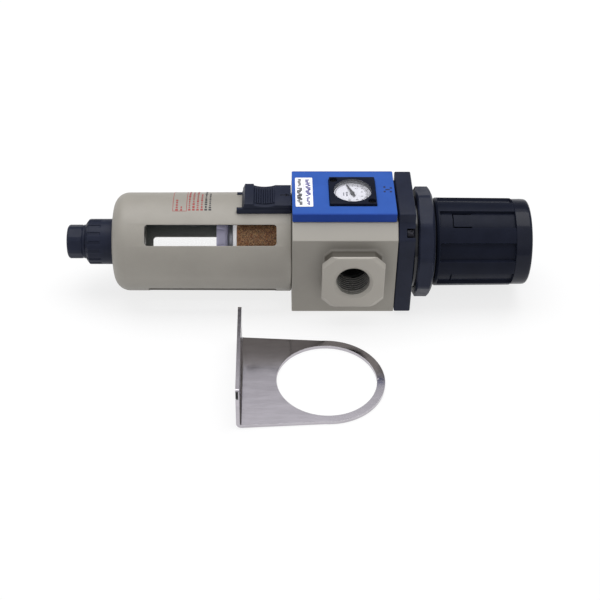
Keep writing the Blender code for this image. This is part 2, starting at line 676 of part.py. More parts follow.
def make_guard():
    shoulder = 8.4
    outer = arc((GUARD_X0 + shoulder, GUARD_R - 0.2 - shoulder), shoulder, 180, 90, 5)
    inner = arc((GUARD_X0 + shoulder, GUARD_R - 0.2 - shoulder), shoulder - 2.4, 90, 180, 4)
    guard = turned("bowl_guard", [
        (-28.6, 24.8), (-28.6, 26.2), (GUARD_X1, 26.2), (GUARD_X1, GUARD_R + 0.1),
        *reversed(outer), (GUARD_X0, 11.4), (GUARD_X0 + 2.4, 11.4),
        *reversed(inner), (-35.6, GUARD_R - 2.4), (-35.6, 24.8)], ROUND_LARGE)
    length = WINDOW_X1 - WINDOW_X0
    outline = fillet(rectangle(length / 2, WINDOW_WIDTH / 2), 1.8, 2)
    for i in range(4):
        window = prism(
            "guard_window_%d" % (i + 1), [outline], 20.0, 32.0, "Z",
            ((WINDOW_X0 + WINDOW_X1) / 2, 0, AXIS_Z))
        window.rotation_euler.x = math.radians(WINDOW_DEG + 90 * i)
        cut(guard, window)
    finish(guard, "grey_paint")


def make_lock():
    floor = AXIS_Z + GUARD_R + 0.4
    rail = box("lock_rail", (-65.0, -LOCK_HALF, AXIS_Z + 24.0), (LOCK_X1, LOCK_HALF, LOCK_RAIL_TOP))
    bevel(rail, 0.3, 1)
    cut(
        rail,
        rod("rail_seat", (-70, 0, AXIS_Z), (-30, 0, AXIS_Z), GUARD_R + 0.35, 64),
        box("rail_channel", (-70.0, -8.2, floor + 0.6), (-30.0, 8.2, LOCK_RAIL_TOP + 2)))
    join(rail, box("rail_post", (-59.5, -1.5, floor + 0.2), (-58.6, 1.5, LOCK_RAIL_TOP + 1.3)))
    finish(rail, "black_plastic")

    key_bottom = floor + 0.9
    side = [
        (-62.0, key_bottom), (LOCK_X1, key_bottom), (LOCK_X1, LOCK_TOP), (-43.6, LOCK_TOP),
        *arc((-49.4, LOCK_TOP + 20.4), 21.2, -74.0, -106.0, 6), (-55.5, LOCK_HEAD_TOP),
        (-60.4, LOCK_HEAD_TOP)]
    button = prism("lock_button", [side], -LOCK_HALF, LOCK_HALF, "Y")
    bevel(button, 0.3, 1, 50)
    for name, side_sign in (("near", -1), ("far", 1)):
        edge = sorted((side_sign * 7.9, side_sign * 12.0))
        cut(button, box(
            "button_step_" + name, (-66.0, edge[0], key_bottom - 1),
            (-30.0, edge[1], LOCK_RAIL_TOP + GAP)))
    cut(button, box(
        "spring_pocket", (-60.2, -2.0, key_bottom - 1), (-43.0, 2.0, LOCK_RAIL_TOP + 1.6)))
    finish(button, "black_plastic")
    spring = coil(
        "lock_spring", -58.3, -43.3, 0.75, 0.18, 7, centre=(0, floor + 1.75), steps=6)
    finish(spring, "steel")


def make_drain():
    drain = turned("drain_body", [
        (-121.9, 3.1), (-121.9, 8.6), (-123.9, 8.6), (-123.9, 6.2), (-152.4, 6.2),
        (-152.4, 3.1)], ROUND_MEDIUM)
    finish(drain, "black_plastic")
    nut = turned("drain_nut", [
        (-135.8, 6.6), (-135.8, 13.5), (-136.8, 13.5), (-137.1, DRAIN_NUT_R),
        (-150.3, DRAIN_NUT_R), (-152.1, 10.6), (-152.1, 6.6)], ROUND_LARGE)
    for i in range(6):
        cut(nut, box(
            "nut_flat_%d" % (i + 1), (-150.0, -3.2, DRAIN_NUT_R - 0.6), (-142.0, 3.2, 16.0),
            (math.radians(60 * i + 20), 0, 0), (0, 0, AXIS_Z)))
    finish(nut, "black_plastic")
    cap = turned("drain_cap", [
        (-152.3, 6.6), (-152.3, 9.3), (-153.6, 9.3), (-153.9, DRAIN_CAP_R),
        (DRAIN_END + 1.5, DRAIN_CAP_R), (DRAIN_END + 0.5, 9.1), (DRAIN_END, 7.6), (DRAIN_END, 2.0),
        (-158.0, 2.0), (-158.0, 3.4), (-152.9, 3.4), (-152.9, 6.6)], ROUND_MEDIUM)
    finish(cap, "black_plastic")
    stem = turned("drain_stem", [
        (-157.0, 0.0), (-157.0, 2.4), (-121.6, 2.4), (-121.6, 4.8), (-119.6, 4.8),
        (-118.6, 3.8), (-118.6, 0.0)], ROUND_SMALL)
    finish(stem, "brass")


# ---------------------------------------------------------------- bracket

def make_bracket():
    """One bent sheet: a ring that fits under the ring nut, and a flange with two slots."""
    floor = AXIS_Z - NUT_R
    cx, cy = BRACKET_CENTRE
    ring_r = BRACKET_HOLE_R + BRACKET_RIM
    bend = 3.0
    lean = math.degrees(math.asin((BRACKET_HALF_WIDTH - ring_r) / (cx - BRACKET_FLANGE_X)))
    plate_x0 = BRACKET_FLANGE_X + bend
    far_x = cx + ring_r + 5.0
    top = floor + BRACKET_HEIGHT
    inner = bend - BRACKET_SHEET
    side = [
        (far_x, floor), *arc((plate_x0, floor + bend), bend, 270, 180, 4),
        (BRACKET_FLANGE_X, top), (BRACKET_FLANGE_X + BRACKET_SHEET, top),
        *arc((plate_x0, floor + bend), inner, 180, 270, 3), (far_x, floor + BRACKET_SHEET)]
    plate = prism(
        "bracket", [side], cy - BRACKET_HALF_WIDTH - 5.0, cy + BRACKET_HALF_WIDTH + 5.0, "Y")
    outline = [
        (BRACKET_FLANGE_X - 5.0, cy - BRACKET_HALF_WIDTH), (plate_x0, cy - BRACKET_HALF_WIDTH),
        *arc((cx, cy), ring_r, -90 - lean, 90 + lean, 30),
        (plate_x0, cy + BRACKET_HALF_WIDTH), (BRACKET_FLANGE_X - 5.0, cy + BRACKET_HALF_WIDTH)]
    plan = prism("bracket_plan", [outline], floor - 5.0, top + 5.0, "Z")
    boolean(plate, as_cutter(plan), "INTERSECT")
    cut(plate, rod(
        "bracket_hole", (cx, cy, floor - 5.0), (cx, cy, floor + 5.0), BRACKET_HOLE_R, 40))
    for i, offset in enumerate((-20.0, 20.0)):
        slot = [
            (cy + offset + dy, top - 10.5 + dz)
            for dy, dz in [*arc((-3.2, 0), 2.8, 90, 270, 6), *arc((3.2, 0), 2.8, -90, 90, 6)]]
        cut(plate, prism(
            "bracket_slot_%d" % (i + 1), [slot], BRACKET_FLANGE_X - 3, BRACKET_FLANGE_X + 5))
    for i, sign in enumerate((-1, 1)):
        edge = cy + sign * BRACKET_HALF_WIDTH
        corner = [
            (edge + sign * 0.5, top + 0.5), (edge - sign * 5.0, top + 0.5),
            *arc((edge - sign * 4.5, top - 4.5), 4.5, 90, 90 - sign * 90, 5),
            (edge + sign * 0.5, top - 5.0)]
        cut(plate, prism(
            "bracket_corner_%d" % (i + 1), [corner], BRACKET_FLANGE_X - 3, BRACKET_FLANGE_X + 5))
    finish(plate, "nickel_sheet")


def build():
    global PARTS, CUTTERS
    clear_scene()
    PARTS = new_collection("filter_regulator")
    CUTTERS = new_collection("cutters")
    make_body()
    make_cover()
    make_gauge()
    make_bonnet()
    make_ring_nut()
    make_knob()
    make_setting_parts()
    make_valve()
    make_filter()
    make_bowl()
    make_guard()
    make_lock()
    make_drain()
    make_bracket()


build()
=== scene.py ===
"""Finished look of the filter regulator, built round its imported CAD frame.

Lengths are in millimetres, and MM turns them into Blender's metres. +X runs along the unit from
the drain to the knob, +Z leaves the cover and the gauge, and -Y is the side with the inlet port.
"""
import json
import math
import random

import bmesh
import bpy
from mathutils import Matrix, Vector


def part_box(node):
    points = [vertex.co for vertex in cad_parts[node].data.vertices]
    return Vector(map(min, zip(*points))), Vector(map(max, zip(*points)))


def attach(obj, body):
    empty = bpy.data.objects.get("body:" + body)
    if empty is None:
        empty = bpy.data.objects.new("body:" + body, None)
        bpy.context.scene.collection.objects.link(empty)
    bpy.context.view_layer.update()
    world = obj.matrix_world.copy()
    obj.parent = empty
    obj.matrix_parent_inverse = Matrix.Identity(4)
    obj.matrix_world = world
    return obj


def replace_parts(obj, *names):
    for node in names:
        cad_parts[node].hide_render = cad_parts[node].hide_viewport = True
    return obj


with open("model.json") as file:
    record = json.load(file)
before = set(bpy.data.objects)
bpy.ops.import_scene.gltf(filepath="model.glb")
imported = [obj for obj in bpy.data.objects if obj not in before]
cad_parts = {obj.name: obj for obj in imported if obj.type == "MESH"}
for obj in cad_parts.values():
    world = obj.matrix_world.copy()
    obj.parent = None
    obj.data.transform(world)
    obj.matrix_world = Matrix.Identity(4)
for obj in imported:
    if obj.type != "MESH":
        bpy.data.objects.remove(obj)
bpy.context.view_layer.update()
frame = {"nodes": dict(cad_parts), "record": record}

MM = 0.001
X, Y, Z = 0, 1, 2


def span(node, axis):
    """Lowest and highest coordinate of a CAD node along an axis."""
    low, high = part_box(node)
    return low[axis] / MM, high[axis] / MM


BODY_OF = {
    node: body
    for body, nodes in frame["record"]["behaviour"]["bodies"].items() for node in nodes}

# Places taken from the frame
AXIS_Z = sum(span("bowl", Z)) / 2
BODY_X0, BODY_X1 = span("body", X)
BODY_TOP = span("body", Z)[1]
BOSS_FACE = span("body", Y)[1]
BODY_HALF = span("bonnet", Y)[1]
COVER_Z0, COVER_TOP = span("front_cover", Z)
COVER_HALF = span("front_cover", Y)[1]
GAUGE_HALF = span("gauge_case", Y)[1]
GAUGE_Z0, GAUGE_TOP = span("gauge_case", Z)
DIAL_Z0, DIAL_TOP = span("gauge_dial", Z)
LENS_Z0, LENS_TOP = span("gauge_lens", Z)
FLANGE_X0, BONNET_END = span("bonnet", X)
NUT_X0, NUT_X1 = span("ring_nut", X)
NUT_R = span("ring_nut", Z)[1] - AXIS_Z
KNOB_X0, KNOB_X1 = span("knob", X)
KNOB_R = span("knob", Z)[1] - AXIS_Z
GUARD_X0, GUARD_LIP = span("bowl_guard", X)
ELEMENT_X0, ELEMENT_X1 = span("filter_element", X)
ELEMENT_R = span("filter_element", Z)[1] - AXIS_Z
RING_X0, RING_X1 = span("element_ring", X)
CAP_X0, CAP_X1 = span("element_cap", X)
BAFFLE_X0, BAFFLE_X1 = span("baffle", X)
RAIL_X0, RAIL_X1 = span("lock_rail", X)
LOCK_HALF = span("lock_rail", Y)[1]
BUTTON_X0 = span("lock_button", X)[0]
BUTTON_TOP = span("lock_button", Z)[1]
DRAIN_NUT_X0, DRAIN_NUT_X1 = span("drain_nut", X)
DRAIN_END, DRAIN_NECK_X1 = span("drain_cap", X)
DRAIN_CAP_R = span("drain_cap", Z)[1] - AXIS_Z
FLOOR_Z = min(span("bracket", Z)[0], span("ring_nut", Z)[0])
BRACKET_X0, BRACKET_X1 = span("bracket", X)
BRACKET_Y0, BRACKET_Y1 = span("bracket", Y)
BRACKET_TOP = span("bracket", Z)[1]

# Sizes that a box doesn't show, nearly all the CAD's own
CHAMFER_Z = 50.9
BOSS_HALF = 17.4
BOSS_CORNER = 7.5
PORT_R = 9.32
PORT_MOUTH_R = 11.3
THREAD_PITCH = 1.814
THREAD_DEPTH = 1.16
THREAD_START = 1.3
THREAD_END = 16.5
SCREW_Y = 22.8
SCREW_Z = 22.6
DIAL_R = 9.9
GAUGE_SCREW = (10.4, 10.2)
ZERO_DEG = 110.0
SCALE_DEG = 220.0
NECK_R = 26.3
FLANGE_X1 = 34.2
NUT_SIDES = 10
KNOB_CAP_R = 24.6
GROOVE_X0, GROOVE_X1 = 49.1, 91.4
SLOT_X0, SLOT_X1 = 56.3, 67.2
GUARD_R = 28.5
GUARD_X1 = -34.2
WINDOW_X0, WINDOW_X1 = -116.4, -42.6
WINDOW_WIDTH = 12.0
WINDOW_DEG = 45.4
BOWL_R = 23.6
BOWL_INNER_R = 21.4
TIE_R = 2.4
TIE_HOLE_R = TIE_R + 0.2
LOCK_RAIL_TOP = AXIS_Z + 30.3
LOCK_TOP = AXIS_Z + 32.8
LOCK_FLOOR = AXIS_Z + GUARD_R + 0.4
DRAIN_NUT_R = 13.1
BRACKET_HOLE_R = 27.3
BRACKET_RIM = 4.4
BRACKET_SHEET = 2.0
BRACKET_BEND = 3.0
FLANGE_CORNER_NEAR, FLANGE_CORNER_FAR = 1.2, 4.5
BRACKET_SLOT_AT, BRACKET_SLOT_DROP = 20.0, 10.5
BRACKET_SLOT_HALF, BRACKET_SLOT_R = 3.2, 2.8

# Light, floor and viewpoint; the skies are (height above the horizon, radiance)
FRONT_SKY = [(0.0, 0.30), (0.5, 0.75), (1.0, 0.70)]
BACK_SKY = [(0.0, 0.45), (0.56, 0.04), (0.655, 0.05), (0.70, 0.95), (1.0, 0.70)]
FRONT_TO_BACK = (0.1, 0.45)
SOFTBOX_AT, SOFTBOX_TARGET = (0.0, 0.25, 1.15), (0, 0, 0.03)
SOFTBOX_SIZE, SOFTBOX_RADIANCE = (1.5, 0.9), 2.9
FLOOR_SIZE = 3.0
FLOOR_TONES = ((0.20, 0.20, 0.20), (0.215, 0.215, 0.215))
FLOOR_GLOW = 0.77
CAMERA_AT = (-44.5, -577.1, 442.8 + AXIS_Z)
CAMERA_DOWN_DEG = 40.17
CAMERA_LENS = 75.29
CAMERA_SHIFT_X = 0.0447

ON_AXIS = 1e-4


# ---------------------------------------------------------------- outlines

def arc(centre, radius, start, end, steps):
    """Points on a circle, angles in degrees, both ends included."""
    points = []
    for i in range(steps + 1):
        angle = math.radians(start + (end - start) * i / steps)
        points.append((centre[0] + radius * math.cos(angle), centre[1] + radius * math.sin(angle)))
    return points


def circle(radius, sides, centre=(0, 0)):
    return arc(centre, radius, 0, 360, sides)[:-1]


def rounded(points, radius, steps=3, about_axis=False):
    """Round the corners of a closed outline, each by as much as its sides leave room for."""
    result = []
    for i, point in enumerate(points):
        here = Vector(point)
        before = Vector(points[i - 1]) - here
        after = Vector(points[(i + 1) % len(points)]) - here
        bend = before.angle(after, math.pi)
        if (about_axis and here.y < ON_AXIS) or bend > math.radians(172):
            result.append(tuple(here))
            continue
        reach = min(radius / math.tan(bend / 2), 0.42 * before.length, 0.42 * after.length)
        size = reach * math.tan(bend / 2)
        start = here + before.normalized() * reach
        end = here + after.normalized() * reach
        middle = here + (before.normalized() + after.normalized()).normalized() * (
            size / math.sin(bend / 2))
        for k in range(steps + 1):
            direction = (start - middle).lerp(end - middle, k / steps).normalized()
            result.append(tuple(middle + direction * size))
    return result


def rectangle(half_u, half_v, centre=(0, 0)):
    u, v = centre
    return [
        (u - half_u, v - half_v), (u + half_u, v - half_v),
        (u + half_u, v + half_v), (u - half_u, v + half_v)]


def octagon(half, corner):
    """An octagon from a square of this half width with its corners cut."""
    points = []
    for su, sv in ((-1, -1), (1, -1), (1, 1), (-1, 1)):
        pair = [(su * (half - corner), sv * half), (su * half, sv * (half - corner))]
        points += pair if su * sv < 0 else pair[::-1]
    return points


def evenly(start, end, step):
    count = max(1, math.ceil(abs(end - start) / step))
    return [start + (end - start) * i / count for i in range(count + 1)]


def ease(value):
    value = min(1.0, max(0.0, value))
    return value * value * (3 - 2 * value)


def plateau(value, low, high, slope):
    """1 between low and high and 0 outside, with slopes this wide inside the edges."""
    return ease((value - low) / slope) * ease((high - value) / slope)


# ---------------------------------------------------------------- mesh building

def place(name, mesh):
    obj = bpy.data.objects.new(name, mesh)
    bpy.context.scene.collection.objects.link(obj)
    return obj


def tidy_mesh(mesh, flat_angle=None):
    """Weld a mesh and point its faces outwards; flat_angle also melts edges that don't bend."""
    work = bmesh.new()
    work.from_mesh(mesh)
    bmesh.ops.remove_doubles(work, verts=work.verts, dist=2e-6)
    bmesh.ops.dissolve_degenerate(work, edges=work.edges, dist=1e-7)
    if flat_angle:
        bmesh.ops.dissolve_limit(
            work, angle_limit=math.radians(flat_angle), verts=work.verts, edges=work.edges)
    bmesh.ops.recalc_face_normals(work, faces=work.faces)
    work.to_mesh(mesh)
    work.free()


def smooth(obj, angle=32):
    obj.data.shade_smooth()
    obj.data.set_sharp_from_angle(angle=math.radians(angle))
    return obj


def solid(name, verts, faces):
    """A closed piece from points in millimetres."""
    mesh = bpy.data.meshes.new(name)
    mesh.from_pydata([Vector(v) * MM for v in verts], [], faces)
    tidy_mesh(mesh)
    return smooth(place(name, mesh))


def polar(axis, centre, along, radius, angle):
    """A point at an angle about an axis: from +Z towards -Y about X, and from +X towards +Y about Z."""
    a = math.radians(angle)
    side, up = radius * math.sin(a), radius * math.cos(a)
    if axis == "X":
        return (along, centre[0] - side, centre[1] + up)
    if axis == "Y":
        return (centre[0] + side, along, centre[1] + up)
    return (centre[0] + up, centre[1] + side, along)


def turned(name, profile, soft=0.3, sides=96, axis="X", centre=None, angles=None, relief=None):
    """Turn a closed profile of (along, radius) points, with its corners rounded, about an axis.

    relief(along, radius, angle) may change the radius point by point.
    """
    centre = centre or ((0, AXIS_Z) if axis == "X" else (0, 0))
    outline = rounded(profile, soft, 3, True) if soft else profile
    angles = angles or [360 * i / sides for i in range(sides)]
    verts = [
        polar(axis, centre, along, relief(along, radius, angle) if relief else radius, angle)
        for along, radius in outline for angle in angles]
    rows, columns = len(outline), len(angles)
    faces = []
    for i in range(rows):
        below = (i + 1) % rows
        if outline[i][1] < ON_AXIS and outline[below][1] < ON_AXIS:
            continue
        for k in range(columns):
            right = (k + 1) % columns
            faces.append((
                i * columns + k, i * columns + right,
                below * columns + right, below * columns + k))
    return solid(name, verts, faces)


def rod(name, low, high, radius, sides, axis="X", centre=None, soft=0):
    return turned(
        name, [(low, 0), (low, radius), (high, radius), (high, 0)], soft, sides, axis, centre)


PLANES = {
    "X": Matrix(((0, 0, 1), (1, 0, 0), (0, 1, 0))),
    "Y": Matrix(((1, 0, 0), (0, 0, -1), (0, 1, 0))),
    "Z": Matrix.Identity(3),
}


def prism(name, loops, low, high, axis="X"):
    """Extrude flat outlines, (y, z) for axis X, (x, z) for Y or (x, y) for Z, from low to high."""
    curve = bpy.data.curves.new(name, "CURVE")
    curve.dimensions = "2D"
    curve.fill_mode = "BOTH"
    curve.extrude = (high - low) / 2 * MM
    for loop in loops:
        spline = curve.splines.new("POLY")
        spline.points.add(len(loop) - 1)
        for point, (u, v) in zip(spline.points, loop):
            point.co = (u * MM, v * MM, 0, 1)
        spline.use_cyclic_u = True
    mesh = curve_mesh(curve)
    middle = (low + high) / 2 * (-1 if axis == "Y" else 1)
    mesh.transform(Matrix.Translation((0, 0, middle * MM)))
    mesh.transform(PLANES[axis].to_4x4())
    tidy_mesh(mesh, 0.2)
    mesh.name = name
    return place(name, mesh)


def curve_mesh(curve):
    """The mesh of a curve or text, which is then removed."""
    source = place(curve.name + "_source", curve)
    bpy.context.view_layer.update()
    graph = bpy.context.evaluated_depsgraph_get()
    mesh = bpy.data.meshes.new_from_object(source.evaluated_get(graph))
    bpy.data.objects.remove(source, do_unlink=True)
    return mesh


def settle(obj):
    """Turn an object's modifiers into plain mesh."""
    bpy.context.view_layer.update()
    graph = bpy.context.evaluated_depsgraph_get()
    mesh = bpy.data.meshes.new_from_object(obj.evaluated_get(graph))
    obj.modifiers.clear()
    obj.data = mesh
    return obj


def boolean(obj, operation, tools):
    for tool in tools:
        modifier = obj.modifiers.new(operation.title(), "BOOLEAN")
        modifier.operation = operation
        modifier.solver = "EXACT"
        modifier.object = tool
    settle(obj)
    for tool in tools:
        bpy.data.objects.remove(tool, do_unlink=True)
    tidy_mesh(obj.data, 0.2)
    return obj


def cut(obj, *tools):
    return boolean(obj, "DIFFERENCE", tools)


def join(obj, *tools):
    return boolean(obj, "UNION", tools)


def bevel(obj, width, segments=3, angle=28):
    """Round every edge that bends more than an angle."""
    modifier = obj.modifiers.new("Bevel", "BEVEL")
    modifier.width = width * MM
    modifier.segments = segments
    modifier.limit_method = "ANGLE"
    modifier.angle_limit = math.radians(angle)
    modifier.use_clamp_overlap = True
    modifier.harden_normals = False
    settle(obj)
    return smooth(obj, 50)


def soften(obj, width, segments=3, angle=28):
    """Round the edges of a finished piece, with its shading led by its large faces."""
    bevel(obj, width, segments, angle)
    weighted = obj.modifiers.new("Weighted normals", "WEIGHTED_NORMAL")
    weighted.keep_sharp = True
    return obj


def block(name, low, high, edge=0.3):
    """A block between two corners with rounded edges."""
    mesh = bpy.data.meshes.new(name)
    work = bmesh.new()
    bmesh.ops.create_cube(work, size=1.0)
    size = Vector(high) - Vector(low)
    middle = (Vector(high) + Vector(low)) / 2
    bmesh.ops.scale(work, vec=size * MM, verts=work.verts)
    bmesh.ops.translate(work, vec=middle * MM, verts=work.verts)
    work.to_mesh(mesh)
    work.free()
    obj = place(name, mesh)
    return soften(obj, edge) if edge else obj


def turn(obj, degrees, axis, centre):
    """Turn a piece's mesh about a line through a point."""
    move = Matrix.Translation(Vector(centre) * MM)
    obj.data.transform(move @ Matrix.Rotation(math.radians(degrees), 4, axis) @ move.inverted())
    return obj


def merged(name, parts):
    """Put several meshes in one piece, each still its own closed shell."""
    work = bmesh.new()
    for part in parts:
        settle(part)
        work.from_mesh(part.data)
        bpy.data.objects.remove(part, do_unlink=True)
    mesh = bpy.data.meshes.new(name)
    work.to_mesh(mesh)
    work.free()
    return smooth(place(name, mesh))


def printed(name, marks, on_surface, lift=0.05, step=4.0):
    """Thin ink marks. A mark is (u0, u1, v0, v1), and on_surface(u, v, height) gives its points."""
    verts, faces = [], []
    for u0, u1, v0, v1 in marks:
        first = len(verts)
        along = evenly(u0, u1, step)
        for u in along:
            for v, height in ((v0, 0), (v1, 0), (v1, lift), (v0, lift)):
                verts.append(on_surface(u, v, height))
        for i in range(len(along) - 1):
            a = first + 4 * i
            for k in range(4):
                n = (k + 1) % 4
                faces.append((a + k, a + n, a + 4 + n, a + 4 + k))
        last = len(verts) - 4
        faces += [(first, first + 1, first + 2, first + 3), (last + 3, last + 2, last + 1, last)]
    return solid(name, verts, faces)


def dashes(source, start, end, shortest, longest, gap):
    """Runs of generic strokes between two ends, as (start, end) pairs."""
    runs = []
    at = start
    while at < end - shortest:
        stop = min(end, at + source.uniform(shortest, longest))
        runs.append((at, stop))
        at = stop + gap
    return runs


# ---------------------------------------------------------------- materials

def rgb(red, green, blue):
    """A colour given as display values from 0 to 255, as linear values."""
    linear = []
    for value in (red, green, blue):
        share = value / 255
        linear.append(share / 12.92 if share <= 0.04045 else ((share + 0.055) / 1.055) ** 2.4)
    return tuple(linear)


class Nodes:
    """A node tree in the making."""

    def __init__(self, tree):
        self.tree = tree

    def node(self, kind, **settings):
        node = self.tree.nodes.new(kind)
        for key, value in settings.items():
            setattr(node, key, value)
        return node

    def link(self, source, target):
        self.tree.links.new(source, target)

    def ranged(self, value, low, high, to_low, to_high):
        ranged = self.node("ShaderNodeMapRange")
        for key, number in (
                ("From Min", low), ("From Max", high), ("To Min", to_low), ("To Max", to_high)):
            ranged.inputs[key].default_value = number
        self.link(value, ranged.inputs["Value"])
        return ranged.outputs["Result"]

    def mixed(self, factor, first, second):
        """A colour between two, each a tuple or a socket."""
        mix = self.node("ShaderNodeMix", data_type="RGBA")
        self.link(factor, mix.inputs["Factor"])
        for key, colour in (("A", first), ("B", second)):
            socket = next(s for s in mix.inputs if s.name == key and s.type == "RGBA")
            if isinstance(colour, tuple):
                socket.default_value = (*colour, 1.0)
            else:
                self.link(colour, socket)
        return next(s for s in mix.outputs if s.type == "RGBA")

    def sky(self, height, stops):
        """Radiance against height above the horizon."""
        ramp = self.node("ShaderNodeValToRGB")
        elements = ramp.color_ramp.elements
        while len(elements) < len(stops):
            elements.new(0.5)
        for element, (at, grey) in zip(elements, stops):
            element.position = at
            element.color = (grey, grey, grey * 1.02, 1)
        self.link(height, ramp.inputs["Fac"])
        return ramp.outputs["Color"]


class Surface(Nodes):
    """A node material in the making, with its object coordinates and main shader."""

    def __init__(self, name):
        self.material = bpy.data.materials.new(name)
        self.material.use_nodes = True
        super().__init__(self.material.node_tree)
        self.shader = self.tree.nodes["Principled BSDF"]
        self.coordinates = self.node("ShaderNodeTexCoord").outputs["Object"]

    def stretched(self, stretch):
        mapping = self.node("ShaderNodeMapping")
        mapping.inputs["Scale"].default_value = stretch
        self.link(self.coordinates, mapping.inputs["Vector"])
        return mapping.outputs["Vector"]

    def noise(self, scale, detail=3.0, stretch=None, roughness=0.55):
        noise = self.node("ShaderNodeTexNoise")
        noise.inputs["Scale"].default_value = scale
        noise.inputs["Detail"].default_value = detail
        noise.inputs["Roughness"].default_value = roughness
        self.link(self.stretched(stretch) if stretch else self.coordinates, noise.inputs["Vector"])
        return noise.outputs["Fac"]

    def cells(self, scale):
        cells = self.node("ShaderNodeTexVoronoi")
        cells.inputs["Scale"].default_value = scale
        self.link(self.coordinates, cells.inputs["Vector"])
        return cells.outputs["Distance"]

    def edges(self, radius, strongest):
        """Near 1 on outer edges, from how far the rounded normal leaves the true one."""
        rounding = self.node("ShaderNodeBevel", samples=4)
        rounding.inputs["Radius"].default_value = radius
        geometry = self.node("ShaderNodeNewGeometry")
        dot = self.node("ShaderNodeVectorMath", operation="DOT_PRODUCT")
        self.link(rounding.outputs["Normal"], dot.inputs[0])
        self.link(geometry.outputs["Normal"], dot.inputs[1])
        return self.ranged(dot.outputs["Value"], 0.995, 0.9, 0.0, strongest)

    def both(self, first, second):
        product = self.node("ShaderNodeMath", operation="MULTIPLY")
        self.link(first, product.inputs[0])
        self.link(second, product.inputs[1])
        return product.outputs["Value"]

    def axis(self, letter):
        split = self.node("ShaderNodeSeparateXYZ")
        self.link(self.coordinates, split.inputs[0])
        return split.outputs[letter]

    def within(self, radius, x0):
        """1 inside a radius about the unit's axis and right of x0, in millimetres, else 0."""
        across = self.coordinates
        for operation, operand in (("SUBTRACT", (0, 0, AXIS_Z * MM)), ("MULTIPLY", (0, 1, 1))):
            step = self.node("ShaderNodeVectorMath", operation=operation)
            step.inputs[1].default_value = operand
            self.link(across, step.inputs[0])
            across = step.outputs["Vector"]
        length = self.node("ShaderNodeVectorMath", operation="LENGTH")
        self.link(across, length.inputs[0])
        inner = self.ranged(length.outputs["Value"], (radius - 0.2) * MM, radius * MM, 1.0, 0.0)
        right = self.ranged(self.axis("X"), x0 * MM, (x0 + 0.6) * MM, 0.0, 1.0)
        return self.both(inner, right)

    def between(self, low, high, strongest):
        """Up to the strongest value where the distance from the middle plane Y = 0 is in a range."""
        size = self.node("ShaderNodeMath", operation="ABSOLUTE")
        self.link(self.axis("Y"), size.inputs[0])
        away = size.outputs["Value"]
        rise = self.ranged(away, (low - 0.8) * MM, (low + 0.8) * MM, 0.0, strongest)
        return self.both(rise, self.ranged(away, high * MM, (high + 0.2) * MM, 1.0, 0.0))

    def bump(self, height, distance):
        bump = self.node("ShaderNodeBump")
        bump.inputs["Strength"].default_value = 1.0
        bump.inputs["Distance"].default_value = distance
        self.link(height, bump.inputs["Height"])
        return bump.outputs["Normal"]

    def set(self, **values):
        for key, value in values.items():
            self.shader.inputs[key.replace("_", " ")].default_value = value


def scaled(colour, share):
    return tuple(value * share for value in colour)


def finish(name, colour, roughness, metallic=0.0, specular=0.5, mottle=0.07, cloud=110.0,
           grain=2200.0, depth=0.00002, smear=0.07, stretch=None, speck=0.0,
           speck_colour=(0, 0, 0), wear_and_highlight=0.0, wear_and_highlight_colour=(1, 1, 1), inside=None, bands=(),
           shaded=None, polished=None, glow=0.0):
    """A solid finish with cloudy colour, fine specks, lightened edges, patchy gloss and fine grain.

    The edges are lightened as wear, and on the ports' threads as painted highlights.
    inside is a radius about the unit's axis, a start along X and the colour of the painted shade
    that a tube takes within.
    Each band is a range of distances from Y = 0, how far it is toned, and towards which colour;
    the bands paint light and shade.
    shaded is a range of heights over which the colour fades into a darker one below: painted shade.
    From polished on, along X, the surface has a thin glossy coat.
    glow is painted light: the surface gives off light of its own.
    """
    surface = Surface(name)
    clouds = surface.ranged(surface.noise(cloud, 4, stretch), 0.32, 0.68, 0.0, 1.0)
    tone = surface.mixed(clouds, scaled(colour, 1 - mottle), scaled(colour, 1 + mottle))
    fine = surface.noise(grain, 3, stretch)
    if speck:
        spots = surface.ranged(surface.noise(grain * 0.6, 2), 0.56, 0.72, 0.0, speck)
        tone = surface.mixed(spots, tone, speck_colour)
    # Lightened edges: wear on most finishes, painted highlights on the ports' threads.
    if wear_and_highlight:
        tone = surface.mixed(surface.edges(0.0006, wear_and_highlight), tone, wear_and_highlight_colour)
    # Painted shade inside a tube.
    if inside:
        radius, x0, inner_colour = inside
        tone = surface.mixed(surface.within(radius, x0), tone, inner_colour)
    # Bands of painted light and shade by distance from Y = 0.
    for low, high, strongest, towards in bands:
        tone = surface.mixed(surface.between(low, high, strongest), tone, towards)
    # Painted shade, darker towards the bottom.
    if shaded:
        low, high, lowest = shaded
        shade = surface.ranged(surface.axis("Z"), low * MM, high * MM, 1.0, 0.0)
        tone = surface.mixed(shade, tone, lowest)
    if polished is not None:
        coat = surface.ranged(
            surface.axis("X"), polished * MM, (polished + 0.3) * MM, 0.0, COAT_WEIGHT)
        surface.link(coat, surface.shader.inputs["Coat Weight"])
        surface.set(Coat_Roughness=COAT_ROUGHNESS)
    surface.link(tone, surface.shader.inputs["Base Color"])
    gloss = surface.ranged(
        surface.noise(cloud * 2.7, 3, stretch), 0.3, 0.7, roughness - smear, roughness + smear)
    surface.link(gloss, surface.shader.inputs["Roughness"])
    surface.link(surface.bump(fine, depth), surface.shader.inputs["Normal"])
    # glow is painted light.
    surface.set(Metallic=metallic, Specular_IOR_Level=specular,
                Emission_Color=(*colour, 1), Emission_Strength=glow)
    return surface.material


